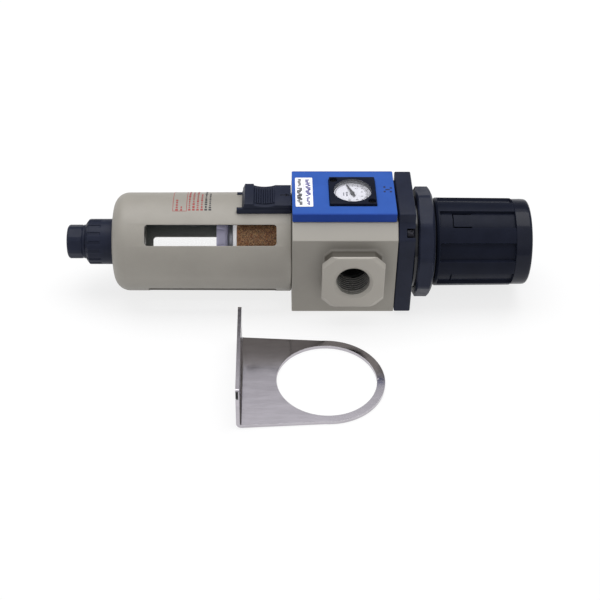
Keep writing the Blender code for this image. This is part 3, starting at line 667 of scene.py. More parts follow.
def sintered(name):
    """Bronze beads sintered together: dark pores between bright round grains."""
    surface = Surface(name)
    grains = surface.cells(1900.0)
    pores = surface.ranged(grains, 0.25, 0.7, 0.0, 0.9)
    patches = surface.ranged(surface.noise(420.0, 4), 0.35, 0.68, 0.0, 1.0)
    tone = surface.mixed(patches, rgb(222, 148, 90), rgb(255, 202, 138))
    tone = surface.mixed(pores, tone, rgb(116, 68, 40))
    surface.link(tone, surface.shader.inputs["Base Color"])
    surface.link(surface.ranged(grains, 0.1, 0.7, 0.38, 0.8), surface.shader.inputs["Roughness"])
    height = surface.ranged(grains, 0.0, 0.7, 1.0, 0.0)
    surface.link(surface.bump(height, 0.00016), surface.shader.inputs["Normal"])
    surface.set(Metallic=0.25)
    return surface.material


def clear(name, opacity, roughness, tint):
    """Clear moulded plastic: mostly open, with a soft sheen and a faint tide of haze."""
    surface = Surface(name)
    haze = surface.ranged(surface.noise(70.0, 4), 0.35, 0.7, opacity * 0.7, opacity * 1.4)
    tone = surface.mixed(haze, tint, scaled(tint, 0.9))
    surface.link(tone, surface.shader.inputs["Base Color"])
    gloss = surface.ranged(surface.noise(160.0), 0.3, 0.7, roughness * 0.6, roughness * 1.5)
    surface.link(gloss, surface.shader.inputs["Roughness"])
    surface.link(
        surface.bump(surface.noise(240.0, 2), 0.00003), surface.shader.inputs["Normal"])
    surface.set(Alpha=opacity, Specular_IOR_Level=0.8)
    return surface.material


GREY = rgb(149, 145, 137)
BLUE = rgb(52, 88, 166)
BLACK = rgb(33, 37, 52)

PAINT = {
    "mottle": 0.035, "cloud": 60, "grain": 1900, "depth": 0.000022, "smear": 0.06, "speck": 0.10,
    "speck_colour": scaled(GREY, 0.72), "wear_and_highlight": 0.30, "wear_and_highlight_colour": rgb(180, 177, 169)}
LOOKS = {
    "grey_paint": dict(PAINT, colour=GREY, roughness=0.52, specular=0.35, bands=(
        # Painted highlight: the chamfers above the sides are lighter.
        (COVER_HALF, BODY_HALF - 0.3, 0.5, rgb(184, 180, 172)),
        # Painted shade: the neck behind each port boss's plate is much darker.
        (BODY_HALF + 0.7, BOSS_FACE - 1.6, 0.95, rgb(72, 68, 61)),
        # The faces of the port bosses are lighter.
        (BOSS_FACE - 1.4, BOSS_FACE + 10, 0.5, rgb(186, 181, 172)))),
    "guard_paint": dict(
        PAINT, colour=GREY, roughness=0.48, specular=0.4,
        # Painted shade: the guard's inner wall is dark.
        inside=(GUARD_R - 0.9, WINDOW_X0 - 4, rgb(62, 66, 62)),
        # Painted shade: darker towards the bottom of the guard.
        shaded=(6.0, 24.0, scaled(GREY, 0.62))),
    # Painted shade: a dark finish for the sheets that stand in for shade in the ports and the bracket's
    # notch.
    "port_shade": dict(
        colour=rgb(44, 46, 46), roughness=0.6, specular=0.2, mottle=0.2, cloud=260, depth=0.00003),
    # Painted light in the ports: dark metal for the shade down the bore, lighter near the mouth, and
    # strong painted highlights on the thread's edges.
    "port_metal": dict(
        colour=rgb(52, 52, 50), roughness=0.32, metallic=0.3, mottle=0.16, cloud=260, grain=2600,
        depth=0.00003, smear=0.1, wear_and_highlight=0.95, wear_and_highlight_colour=rgb(176, 173, 164),
        bands=((BOSS_FACE - 5.0, BOSS_FACE, 0.6, rgb(150, 147, 139)),)),
    "blue_plastic": dict(
        colour=BLUE, roughness=0.42, specular=0.06, mottle=0.05, cloud=70, grain=3200,
        depth=0.000012, speck=0.07, speck_colour=rgb(38, 70, 150), wear_and_highlight=0.3,
        wear_and_highlight_colour=rgb(72, 110, 196),
        # Painted shade: the cover's side faces are darker blue.
        bands=((COVER_HALF - 0.8, COVER_HALF + 10, 0.55, rgb(16, 38, 122)),)),
    "label_white": dict(
        colour=rgb(238, 238, 242), roughness=0.55, mottle=0.02, cloud=300, grain=4000,
        depth=0.000008, speck=0.05, speck_colour=rgb(205, 205, 210)),
    "dial_white": dict(
        colour=rgb(216, 216, 224), roughness=0.5, mottle=0.03, cloud=240, grain=3500,
        depth=0.000006, speck=0.05, speck_colour=rgb(190, 190, 200)),
    "black_plastic": dict(
        colour=BLACK, roughness=0.40, specular=0.12, mottle=0.12, cloud=90, grain=2400,
        depth=0.000022, smear=0.06, speck=0.12, speck_colour=rgb(28, 30, 42), wear_and_highlight=0.25,
        wear_and_highlight_colour=rgb(46, 50, 68)),
    "black_satin": dict(
        colour=scaled(BLACK, 0.6), roughness=0.34, specular=0.06, mottle=0.12, cloud=80,
        grain=3000, depth=0.000012, smear=0.06, wear_and_highlight=0.25, wear_and_highlight_colour=rgb(44, 48, 66),
        polished=GROOVE_X1 + 0.3),
    "black_gloss": dict(
        colour=scaled(BLACK, 0.4), roughness=0.14, mottle=0.1, cloud=90, grain=3000,
        depth=0.000005, smear=0.05),
    # Painted light: this white plastic gives off a little light of its own.
    "white_plastic": dict(
        colour=rgb(246, 246, 248), roughness=0.4, glow=0.35, mottle=0.02, cloud=120, grain=3000,
        depth=0.00001),
    # Painted light: a faint glow of its own.
    "lilac_plastic": dict(
        colour=rgb(200, 196, 224), roughness=0.36, glow=0.06, mottle=0.05, cloud=140, grain=2400,
        depth=0.000015),
    "dark_steel": dict(
        colour=rgb(36, 36, 42), roughness=0.3, metallic=0.8, mottle=0.15, cloud=400, grain=2600,
        depth=0.00001),
    "steel": dict(
        colour=rgb(196, 196, 200), roughness=0.28, metallic=1.0, mottle=0.08, cloud=300,
        grain=2600, depth=0.00001, stretch=(1, 1, 6)),
    "zinc": dict(
        colour=rgb(150, 150, 158), roughness=0.42, metallic=0.85, mottle=0.12, cloud=260,
        grain=1800, depth=0.00003),
    "brass": dict(
        colour=rgb(206, 176, 104), roughness=0.27, metallic=1.0, mottle=0.08, cloud=240,
        grain=2400, depth=0.00001, stretch=(8, 1, 1)),
    "dull_brass": dict(
        colour=rgb(92, 86, 70), roughness=0.42, metallic=0.6, mottle=0.12, cloud=240, grain=2400,
        depth=0.00001, stretch=(8, 1, 1)),
    "rubber": dict(
        colour=rgb(24, 24, 25), roughness=0.72, mottle=0.15, cloud=200, grain=2600,
        depth=0.00003),
    "nickel_sheet": dict(
        colour=rgb(184, 180, 186), roughness=0.12, metallic=1.0, mottle=0.06, cloud=55,
        grain=1300, depth=0.000003, smear=0.03, stretch=(1, 5, 5), speck=0.10,
        speck_colour=rgb(130, 126, 126)),
}
INKS = (
    ("ink_black", rgb(24, 24, 30), 0.2), ("ink_violet", rgb(52, 44, 128), 0.15),
    ("ink_red", rgb(150, 44, 42), 0.12), ("ink_blue", rgb(12, 20, 66), 0.15),
    ("ink_grey", rgb(104, 104, 116), 0.15))

COAT_WEIGHT, COAT_ROUGHNESS = 0.2, 0.12
FINISHES = {name: finish(name, **look) for name, look in LOOKS.items()}
FINISHES["sintered_bronze"] = sintered("sintered_bronze")
FINISHES["clear_plastic"] = clear("clear_plastic", 0.035, 0.08, rgb(150, 160, 156))
FINISHES["lens"] = clear("lens", 0.05, 0.05, rgb(240, 242, 248))
for ink, shade_of_ink, ink_mottle in INKS:
    FINISHES[ink] = finish(ink, shade_of_ink, 0.5, mottle=ink_mottle, cloud=500)


def dress(obj, look, node):
    """Give a piece its finish, and let it ride with a CAD node."""
    obj.data.materials.clear()
    obj.data.materials.append(FINISHES[look])
    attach(obj, BODY_OF[node])
    return obj


def fit(obj, look, node):
    """Dress a piece that stands for a CAD node."""
    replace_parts(dress(obj, look, node), node)


# ---------------------------------------------------------------- body and cover

def loft(name, rings):
    """A closed piece through rings with equally many points."""
    count = len(rings[0])
    verts = [point for ring in rings for point in ring]
    faces = []
    for i in range(len(rings) - 1):
        for k in range(count):
            n = (k + 1) % count
            faces.append((i * count + k, i * count + n, (i + 1) * count + n, (i + 1) * count + k))
    faces.append(tuple(range(count)))
    faces.append(tuple(range(len(verts) - 1, len(verts) - count - 1, -1)))
    return solid(name, verts, faces)


def boss(side):
    """One port boss: an octagonal plate whose corners fill out behind its face, on a filleted neck."""
    square = 3.4
    steps = [
        (0.0, -0.45, BOSS_CORNER), (0.25, -0.15, BOSS_CORNER), (0.5, 0.0, BOSS_CORNER - 0.6),
        (1.3, 0.05, square + 1.6), (1.5, -0.15, square + 1.4), (1.7, -0.6, square + 1.2),
        (1.9, -1.3, square + 1.2)]
    depth = BOSS_FACE - BODY_HALF
    neck, flare = -1.7, 1.5
    for angle in range(0, 91, 15):
        a = math.radians(angle)
        steps.append((
            depth - flare + flare * math.sin(a), neck + flare * (1 - math.cos(a)), square + 1.5))
    steps.insert(7, (2.4, neck, square + 1.5))
    steps.append((depth + 1.5, neck + flare, square + 1.5))
    rings = []
    for back, grow, corner in steps:
        outline = rounded(octagon(BOSS_HALF + grow, corner + 0.586 * grow), 0.9, 3)
        rings.append([(u, side * (BOSS_FACE - back), AXIS_Z + v) for u, v in outline])
    return loft("boss", rings)


def port_cutter(side):
    """The bore of one port, with room for its thread and a countersunk mouth."""
    deep = 14.5 if side < 0 else 9.0
    face = BOSS_FACE
    profile = [
        (face + 2, 0), (face + 2, PORT_MOUTH_R), (face, PORT_MOUTH_R),
        (face - THREAD_START, PORT_R + 0.3), (face - THREAD_START, PORT_R + THREAD_DEPTH),
        (face - THREAD_END - 0.5, PORT_R + THREAD_DEPTH), (face - THREAD_END - 0.5, PORT_R - 0.9),
        (deep, PORT_R - 0.9), (deep, 0)]
    return turned("port_cutter", [(side * y, r) for y, r in profile], 0, 72, "Y", (0, AXIS_Z))


def port_thread(name, side):
    """The female thread as a sleeve: a helical inner wall and a plain outer one."""
    near, far = BOSS_FACE - THREAD_START - 0.02, BOSS_FACE - THREAD_END + 0.02
    columns = 72
    root = PORT_R + THREAD_DEPTH - 0.1
    stages = ((0.0, PORT_R), (0.14, PORT_R), (0.5, root), (0.64, root))
    rows = []
    turns = math.ceil((near - far) / THREAD_PITCH) + 1
    for i in range(-1, turns):
        for share, radius in stages:
            rows.append([
                (min(near, max(far, far + (i + share + k / columns) * THREAD_PITCH)), radius)
                for k in range(columns)])
    outer = PORT_R + THREAD_DEPTH + 0.3
    rows.append([(near, outer)] * columns)
    rows.append([(far, outer)] * columns)
    verts = [
        polar("Y", (0, AXIS_Z), side * y, radius, 360 * k / columns)
        for row in rows for k, (y, radius) in enumerate(row)]
    faces = []
    for i in range(len(rows)):
        below = (i + 1) % len(rows)
        for k in range(columns):
            n = (k + 1) % columns
            if i < len(rows) - 3 and n == 0:
                continue
            faces.append((
                i * columns + k, i * columns + n, below * columns + n, below * columns + k))
    for i in range(len(rows) - 3 - len(stages)):
        last = i * columns + columns - 1
        first = (i + len(stages)) * columns
        faces.append((last, first, first + columns, last + columns))
    return solid(name, verts, faces)


def port_shade_cup(name, side):
    """Painted shade at the end of a port behind its thread: a thin dark cup with a rim."""
    sheet, back = 0.3, 14.6
    wall, mouth, rim = PORT_R - 1.0, BOSS_FACE - THREAD_END - 0.05, PORT_R + 0.9
    profile = [
        (mouth, rim), (mouth, wall - sheet), (back + sheet, wall - sheet), (back + sheet, 0),
        (back, 0), (back, wall), (mouth - sheet, wall), (mouth - sheet, rim)]
    return turned(name, [(side * y, r) for y, r in profile], 0, 64, "Y", (0, AXIS_Z))


def make_body():
    outline = [
        (-BODY_HALF, 0), (BODY_HALF, 0), (BODY_HALF, CHAMFER_Z),
        (COVER_HALF, BODY_TOP), (-COVER_HALF, BODY_TOP), (-BODY_HALF, CHAMFER_Z)]
    body = prism("main_body", [outline], BODY_X0, BODY_X1)
    bevel(body, 0.5)
    join(body, boss(-1), boss(1))
    chambers = turned("chambers", [
        (-36.0, 0.0), (-36.0, 26.5), (-28.0, 26.5), (-28.0, 24.4), (-20.0, 24.4),
        (-20.0, 21.5), (-14.0, 21.5), (-14.0, 12.0), (-22.0, 12.0), (-22.0, 8.5),
        (-6.8, 8.5), (-6.8, 5.5), (-5.0, 5.5), (-5.0, 11.0), (16.0, 11.0),
        (16.0, 21.0), (26.0, 21.0), (26.0, 0.0)], 0, 96)
    pocket_half = GAUGE_HALF + 0.5
    cutters = [
        chambers, port_cutter(-1), port_cutter(1),
        block("pocket", (-pocket_half, -pocket_half, 49.5), (pocket_half, pocket_half, 60.0), 0),
        rod("duct", -16.0, -4.0, 4.5, 32, "X", (-17.5, AXIS_Z)),
        rod("passage", 36.0, 50.0, 2.5, 32, "Z")]
    for corner in flange_corners():
        cutters.append(rod("hole", 12.0, 26.0, 2.3, 24, "X", corner))
    cut(body, *cutters)
    smooth(body, 24)
    fit(body, "grey_paint", "body")
    # Each port gets its thread and, behind it, a dark cup of painted shade.
    for make, ending, look in (
            (port_thread, "_thread", "port_metal"), (port_shade_cup, "_bore", "port_shade")):
        for port, side in (("inlet", -1), ("outlet", 1)):
            dress(make(port + ending, side), look, "body")


def flange_corners():
    """The flange screws' four places, as (y, z)."""
    return [
        (side * SCREW_Y, AXIS_Z + level * SCREW_Z)
        for level in (1, -1) for side in (-1, 1)]


def make_cover():
    gap_to_flange = 0.8
    x1 = BODY_X1 - gap_to_flange
    outline = rounded(
        rectangle((x1 - BODY_X0) / 2, COVER_HALF, ((x1 + BODY_X0) / 2, 0)), 0.8, 3)
    window = rectangle(GAUGE_HALF + 0.3, GAUGE_HALF + 0.3)
    cover = prism("cover_shell", [outline, window], COVER_Z0, COVER_TOP, "Z")
    soften(cover, 0.55)
    fit(cover, "blue_plastic", "front_cover")
    low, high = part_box("cover_label")
    label_x = (low.x + high.x) / 2 / MM
    half_x = (high.x - low.x) / 2 / MM
    half_y = high.y / MM
    label = prism(
        "label_sticker", [rounded(rectangle(half_x, half_y, (label_x, 0)), 0.7, 4)],
        low.z / MM, high.z / MM, "Z")
    soften(label, 0.08, 2)
    fit(label, "label_white", "cover_label")
    make_label_print(label_x, high.z / MM)
    make_cover_mark()


def make_label_print(label_x, top):
    """Two rows of made-up strokes that run across the unit."""
    source = random.Random(4)

    def on_label(u, v, height):
        return (v, u, top + height)

    def strokes(x, tall, start, end, shortest, longest, gap):
        marks = []
        for u0, u1 in dashes(source, start, end, shortest, longest, gap):
            lean = source.choice((0.2, 0.4, 0.6))
            if source.random() < 0.5:
                marks.append((u0, u1, x - tall / 2, x - tall / 2 + tall * (0.35 + lean)))
            else:
                marks.append((u0, u1, x + tall / 2 - tall * (0.35 + lean), x + tall / 2))
        return marks

    node = "cover_label"
    black = strokes(label_x - 2.5, 2.9, -12.4, 4.6, 0.7, 1.3, 0.26)
    black += strokes(label_x - 2.5, 1.9, 5.4, 12.6, 0.5, 0.9, 0.3)
    dress(printed("label_code", black, on_label), "ink_black", node)
    violet = strokes(label_x + 2.3, 2.8, -4.0, 12.6, 0.6, 1.2, 0.24)
    violet += strokes(label_x + 2.3, 1.8, -12.4, -5.0, 0.5, 0.9, 0.3)
    dress(printed("label_line", violet, on_label), "ink_violet", node)
    small = strokes(label_x, 0.5, -3.0, 8.0, 0.25, 0.5, 0.7)
    dress(printed("label_small_print", small, on_label), "ink_grey", node)


def make_cover_mark():
    """A small printed mark of five strokes beside the gauge."""
    marks = [(4.4, 5.9, 17.7, 18.8), (3.6, 4.9, 21.2, 22.4), (0.1, 1.5, 17.6, 18.7),
             (0.0, 1.4, 21.0, 22.2), (2.2, 3.1, 18.6, 21.0)]
    mark = printed("cover_mark", marks, lambda u, v, height: (v, u, COVER_TOP + height))
    dress(mark, "ink_blue", "front_cover")


# ---------------------------------------------------------------- gauge

def gauge_screw_places():
    return [(side * GAUGE_SCREW[0], -side * GAUGE_SCREW[1]) for side in (-1, 1)]


def make_gauge():
    case = prism(
        "gauge_housing", [rounded(rectangle(GAUGE_HALF, GAUGE_HALF), 0.5, 3)],
        GAUGE_Z0, GAUGE_TOP, "Z")
    bevel(case, 0.35)
    floor = 51.8
    hollow = turned("hollow", [
        (49.0, 0.0), (49.0, 2.5), (floor, 2.5), (floor, 9.4), (61.7, 9.4),
        (61.7, 10.7), (65.0, 10.7), (65.6, 11.1), (67.0, 11.1), (67.0, 0.0)], 0, 96, "Z")
    cutters = [hollow]
    for x, y in gauge_screw_places():
        cutters.append(turned("recess", [
            (49.0, 0.0), (49.0, 1.4), (63.2, 1.4), (63.2, 2.15), (64.9, 2.15), (65.5, 2.5),
            (66.0, 2.5), (66.0, 0.0)], 0, 40, "Z", (x, y)))
    cut(case, *cutters)
    smooth(case)
    fit(case, "black_satin", "gauge_case")
    for i, (x, y) in enumerate(gauge_screw_places()):
        make_gauge_screw("gauge_case_screw_%d" % (i + 1), "gauge_screw_%d" % (i + 1), x, y)
    dial = turned("dial_plate", [
        (DIAL_Z0, 0.9), (DIAL_TOP, 0.9), (DIAL_TOP, DIAL_R + 0.6), (DIAL_Z0, DIAL_R + 0.6)],
        0.1, 96, "Z")
    fit(dial, "dial_white", "gauge_dial")
    make_scale()
    make_pointer()
    lens = turned("lens", [
        (LENS_Z0, 9.7), (LENS_Z0, 10.4), (65.4, 10.4), (65.85, 9.9), (LENS_TOP - 0.08, 5.0),
        (LENS_TOP, 0.0), (65.3, 0.0), (65.2, 5.0), (65.0, 9.4)], 0.2, 96, "Z")
    fit(lens, "lens", "gauge_lens")


def make_gauge_screw(name, node, x, y):
    """A cheese head with a cross recess."""
    low = span(node, Z)[0]
    screw = turned(name, [
        (low, 0.0), (low, 1.1), (63.4, 1.1), (63.4, 1.8), (64.0, 1.8), (64.4, 1.2),
        (64.4, 0.0)], 0.15, 40, "Z", (x, y))
    blades = []
    for degrees in (30, 120):
        blade = block("blade", (x - 1.25, y - 0.2, 63.9), (x + 1.25, y + 0.2, 65.0), 0)
        blades.append(turn(blade, degrees, "Z", (x, y, 0)))
    cut(screw, *blades)
    fit(smooth(screw), "dark_steel", node)


def make_scale():
    """Ring lines, ticks and numbers printed on the dial, with 12 o'clock towards the knob."""
    def on_dial(angle, radius, height):
        return polar("Z", (0, 0), DIAL_TOP + height, radius, angle)

    def tick(angle, inner, outer, width):
        half = math.degrees(width / 2 / outer)
        return (angle - half, angle + half, inner, outer)

    rings = [
        (0, 360, 9.55, 9.8), (-ZERO_DEG, ZERO_DEG, 8.8, 9.05), (-ZERO_DEG, ZERO_DEG, 7.75, 7.87)]
    divisions = 50
    for i in range(divisions + 1):
        angle = ZERO_DEG - SCALE_DEG * i / divisions
        if i % 5 == 0:
            rings.append(tick(angle, 7.2, 8.9, 0.36))
        else:
            rings.append(tick(angle, 8.0, 8.9, 0.16))
    node = "gauge_dial"
    dress(printed("dial_ticks", rings, on_dial, 0.04), "ink_black", node)
    numbers = []
    for i in range(6):
        angle = math.radians(ZERO_DEG - SCALE_DEG * i / 5)
        numbers.append(number(str(2 * i), 5.75 * math.cos(angle), 5.75 * math.sin(angle), 2.0))
    dress(merged("dial_numbers", numbers), "ink_black", node)
    strokes = [(-2.0, -0.9, -3.6, -2.6), (-0.5, 0.5, -3.6, -2.6), (0.9, 2.0, -3.6, -2.6),
               (-1.6, 1.6, -5.2, -4.6)]
    lines = printed(
        "dial_lines", strokes, lambda u, v, height: (v, u, DIAL_TOP + height), 0.04)
    dress(lines, "ink_grey", node)


def number(text, x, y, size):
    """A printed figure whose head points to +X."""
    curve = bpy.data.curves.new("number", "FONT")
    curve.body = text
    curve.size = size * MM
    curve.align_x = "CENTER"
    curve.align_y = "CENTER"
    curve.extrude = 0.02 * MM
    mesh = curve_mesh(curve)
    mesh.transform(Matrix.Rotation(-math.pi / 2, 4, "Z"))
    mesh.transform(Matrix.Translation(Vector((x, y, DIAL_TOP + 0.03)) * MM))
    return place("number_" + text, mesh)


def make_pointer():
    """Arbor, pinion, hub and a slim needle with a tail."""
    low = span("gauge_pointer", Z)[0]
    teeth = 14

    def pinion(along, radius, angle):
        if radius < 0.9 or along > 60:
            return radius
        return radius - 0.14 * (0.5 - 0.5 * math.cos(math.radians(angle * teeth)))

    arbor = turned("pointer_arbor", [
        (low, 0.0), (low, 0.5), (58.7, 0.5), (58.7, 0.95), (59.8, 0.95), (59.8, 0.5),
        (63.0, 0.5), (63.0, 1.15), (63.7, 1.15), (63.95, 0.8), (63.95, 0.0)], 0.08, 84, "Z",
        relief=pinion)
    needle = prism(
        "needle", [rounded([(-3.0, -0.6), (0.0, -0.8), (8.6, -0.16), (8.6, 0.16), (0.0, 0.8),
                            (-3.0, 0.6)], 0.1, 2)], 63.2, 63.55, "Z")
    turn(needle, ZERO_DEG, "Z", (0, 0, 0))
    join(arbor, needle)
    smooth(arbor)
    arbor.name = "pointer_needle"
    fit(arbor, "ink_black", "gauge_pointer")


# ---------------------------------------------------------------- regulator side

def make_bonnet():
    outline = [
        (-BODY_HALF, 0), (BODY_HALF, 0), (BODY_HALF, CHAMFER_Z), (COVER_HALF, BODY_TOP),
        (COVER_HALF, COVER_TOP), (-COVER_HALF, COVER_TOP), (-COVER_HALF, BODY_TOP),
        (-BODY_HALF, CHAMFER_Z)]
    flange = prism("bonnet_flange", [outline], FLANGE_X0, FLANGE_X1)
    bevel(flange, 0.8)
    cutters = [turned("diaphragm_recess", [
        (23.0, 0.0), (23.0, 24.6), (26.4, 24.6), (26.4, 21.6), (36.0, 21.6), (36.0, 0.0)],
        0, 96)]
    for y, z in flange_corners():
        cutters.append(turned("recess", [
            (24.0, 0.0), (24.0, 2.3), (29.3, 2.3), (29.3, 4.3), (35.5, 4.3), (35.5, 0.0)],
            0, 40, "X", (y, z)))
    cut(flange, *cutters)
    smooth(flange, 24)
    fit(flange, "black_plastic", "bonnet")
    lip_x1 = NUT_X1 + 1.0
    neck = turned("bonnet_neck", [
        (31.0, 20.4), (31.0, 24.0), (FLANGE_X1 - 1.0, 25.0), (FLANGE_X1 + 0.6, NECK_R),
        (NUT_X1 + 0.4, NECK_R), (NUT_X1 + 0.6, 24.4), (lip_x1, 24.3), (lip_x1, 20.3),
        (BONNET_END, 20.3), (BONNET_END, 4.4), (80.5, 4.4), (80.5, 17.8), (42.9, 17.8),
        (40.9, 20.4)], 0.35, 128)
    dress(neck, "black_gloss", "bonnet")
    for i, (y, z) in enumerate(flange_corners()):
        make_bonnet_screw("flange_screw_%d" % (i + 1), "bonnet_screw_%d" % (i + 1), y, z)


def make_bonnet_screw(name, node, y, z):
    """A socket head cap screw with a knurled rim."""
    low, high = span(node, X)
    knurls = 36

    def knurl(along, radius, angle):
        if radius < 3.0 or along < 29.9 or along > 32.6:
            return radius
        return radius - 0.12 * (0.5 - 0.5 * math.cos(math.radians(angle * knurls)))

    profile = [(low, 0.0), (low, 2.0), (29.6, 2.0), (29.6, 3.2), (30.0, 3.2), (32.5, 3.2),
               (32.9, 3.1), (high, 2.7), (high, 0.0)]
    screw = turned(name, profile, 0.1, 144, "X", (y, z), relief=knurl)
    socket = prism("socket", [circle(1.75, 6, (y, z))], 31.0, 34.5)
    cut(screw, socket)
    fit(smooth(screw), "dark_steel", node)


def make_ring_nut():
    facet = 360 / NUT_SIDES
    apothem = NUT_R * math.cos(math.radians(facet / 2))
    corner_r = NUT_R - 0.35

    def ten_sided(along, radius, angle):
        if radius < NECK_R + 1.0:
            return radius
        off_middle = (angle % facet) - facet / 2
        flat = apothem / math.cos(math.radians(off_middle))
        return min(radius, flat, corner_r)

    outer = [(NUT_X0, 30.0), (NUT_X0 + 0.9, NUT_R + 0.2)]
    slope = 2.1
    outer += [(x, NUT_R + 0.2) for x in evenly(NUT_X0 + 1.3, NUT_X1 - slope - 0.3, 1.0)]
    outer += [
        (NUT_X1 - slope * (1 - i / 6), NUT_R + 0.2 - 3.8 * (i / 6) ** 1.1) for i in range(7)]
    bore = [(NUT_X1, NECK_R + 0.9), (NUT_X1 - 0.6, NECK_R + 0.3), (NUT_X0, NECK_R + 0.3)]
    angles = sorted({
        round((facet * i + step) % 360, 3)
        for i in range(NUT_SIDES) for step in (-4, -2.4, -1.2, 0, 1.2, 2.4, 4, 8, 13, 18, 23, 28)})
    nut = turned("panel_nut", outer + bore, 0.15, axis="X", angles=angles, relief=ten_sided)
    smooth(nut, 20)
    fit(nut, "black_plastic", "ring_nut")


def make_knob():
    pads = 8
    pitch = 360 / pads
    groove_half, groove_depth = 12.7, 1.75
    slot_half, slit, slit_deg, slit_depth = 11.6, 0.8, 2.2, 1.6

    def grooves(along, radius, angle):
        if radius < 23.5 or along > GROOVE_X1 + 0.2:
            return radius
        off = abs((angle % pitch) - pitch / 2)
        sunk = groove_depth * plateau(along, GROOVE_X0, GROOVE_X1 + 2, 0.5)
        sunk *= ease((groove_half - off) / 1.0)
        if int(angle // pitch) % 2 == 0 and SLOT_X0 < along < SLOT_X1:
            beside = ease((slot_half - off) / 0.4) * ease((off - slot_half + slit_deg) / 0.4)
            across = ease((slot_half - off) / 0.4) * plateau(along, SLOT_X0, SLOT_X0 + slit, 0.15)
            sunk += slit_depth * max(beside, across)
        return radius - sunk

    breaks = evenly(GROOVE_X0 + 2.0, GROOVE_X1 - 1.0, 4.0)
    breaks += [GROOVE_X0 + 0.5 * k / 3 for k in range(-1, 5)]
    breaks += [SLOT_X0 + step for step in (-0.02, 0.02, 0.15, 0.4, 0.65, 0.78, 0.85)]
    breaks += [SLOT_X1 - 0.02, SLOT_X1 + 0.02]
    shoulder = KNOB_X0 + 1.4
    taper = (KNOB_R - 25.0) / (GROOVE_X1 - shoulder)
    outer = [(x, KNOB_R - taper * (x - shoulder)) for x in sorted(breaks)]
    end = KNOB_X1
    profile = [
        (KNOB_X0, 24.0), (KNOB_X0 + 0.35, 24.7), (KNOB_X0 + 0.9, 25.1), (shoulder, KNOB_R),
        *outer, (GROOVE_X1 + 0.1, 25.0), (GROOVE_X1 + 0.3, 24.9), (GROOVE_X1 + 0.4, 24.2),
        (GROOVE_X1 + 0.7, KNOB_CAP_R), (end - 3.0, KNOB_CAP_R)]
    profile += arc((end - 2.0, KNOB_CAP_R - 2.1), 2.0, 82, 8, 8)
    profile += [
        (end, 21.0), (end, 20.2), (end - 0.4, 19.9), (end - 0.4, 0.0), (end - 4.8, 0.0),
        (end - 4.8, 6.7), (88.4, 6.7), (88.4, 9.4), (end - 3.6, 9.4), (end - 3.6, 21.6),
        (KNOB_X0, 21.6)]
    angles = set()
    for i in range(pads):
        middle = pitch * (i + 0.5)
        for side in (-1, 1):
            angles |= {middle + side * (groove_half - 1.0 * k / 3) for k in range(-1, 5)}
            angles |= {middle + side * (slot_half - step) for step in (0, 0.4, 1.1, 1.8, 2.2)}
        angles |= {middle - pitch / 2 + step for step in (0, 3, 6, 17, 20, 22.5, 25, 28, 39, 42)}
    angles = sorted({round(a % 360, 3) for a in angles})
    knob = turned("setting_knob", profile, 0, axis="X", angles=angles, relief=grooves)
    smooth(knob, 24)
    fit(knob, "black_satin", "knob")


# ---------------------------------------------------------------- filter side

def make_filter():
    element = turned("bronze_element", [
        (ELEMENT_X0, 11.4), (ELEMENT_X0, ELEMENT_R), (ELEMENT_X1, ELEMENT_R),
        (ELEMENT_X1, 11.4)], 0.25, 128)
    fit(element, "sintered_bronze", "filter_element")
    ring = turned("element_end_ring", [
        (RING_X0, 11.8), (RING_X0, 16.4), (RING_X1, 16.4), (RING_X1, 11.8)], 0.3, 128)
    fit(ring, "white_plastic", "element_ring")
    shelf = -67.5
    cap = turned("element_end_plate", [
        (CAP_X0, TIE_HOLE_R), (CAP_X0, 15.2), (-69.2, 16.6), (shelf, 16.6), (shelf, 11.0),
        (CAP_X1, 11.0), (CAP_X1, 9.0), (shelf, 9.0), (shelf, TIE_HOLE_R)], 0.3, 128)
    fit(cap, "zinc", "element_cap")
    fins = 12

    def finned(along, radius, angle):
        if radius < 15.0 or along > -70.8:
            return radius
        return radius - 0.5 * ease(abs(((angle * fins / 360) % 1) - 0.5) * 10 - 4.2)

    baffle = turned("quiet_zone_baffle", [
        (BAFFLE_X1, TIE_HOLE_R), (BAFFLE_X1, 15.6), (-70.9, 16.6), (-71.6, 17.4),
        (-72.7, 17.9), (-74.3, 18.5), (BAFFLE_X0, 19.4), (-76.3, 18.4), (-74.4, 17.2),
        (-73.3, 16.0), (-72.9, 14.0), (-73.4, 10.0), (-74.6, 7.0), (-76.0, 5.0),
        (-76.0, TIE_HOLE_R)], 0.35, 144, relief=finned)
    fit(baffle, "lilac_plastic", "baffle")
    bolt_high = span("tie_bolt", X)[1]
    bolt = rod("tie_rod", -76.2, bolt_high, TIE_R, 60, soft=0.3)
    fit(bolt, "dull_brass", "tie_bolt")
    make_deflector()


def make_deflector():
    """Swirl plate whose slanted slots set the air turning."""
    x0, x1, collar_x1, hub_x1 = -37.8, -34.8, -20.4, -30.0
    vanes, ports, ports_at = 8, 4, 8.7
    deflector = turned("swirl_plate", [
        (x0, TIE_HOLE_R), (x0, 20.6), (x1, 20.6), (x1, 14.0), (collar_x1, 14.0),
        (collar_x1, 12.4), (x1, 12.4), (x1, 5.0), (hub_x1, 5.0), (hub_x1, TIE_HOLE_R)], 0.25, 96)
    cutters = []
    for i in range(vanes):
        slot = block(
            "slot", (x0 - 2, -0.9, AXIS_Z + 14.6), (x1 + 2, 0.9, AXIS_Z + 19.6), 0)
        cutters.append(turn(slot, 360 * i / vanes + 20, "X", (0, 0, AXIS_Z)))
    for i in range(ports):
        angle = math.radians(360 * i / ports + 11)
        centre = (ports_at * math.cos(angle), AXIS_Z + ports_at * math.sin(angle))
        cutters.append(rod("port", x0 - 2.2, x1 + 1.8, 2.4, 32, "X", centre))
    cut(deflector, *cutters)
    fit(smooth(deflector), "white_plastic", "deflector")


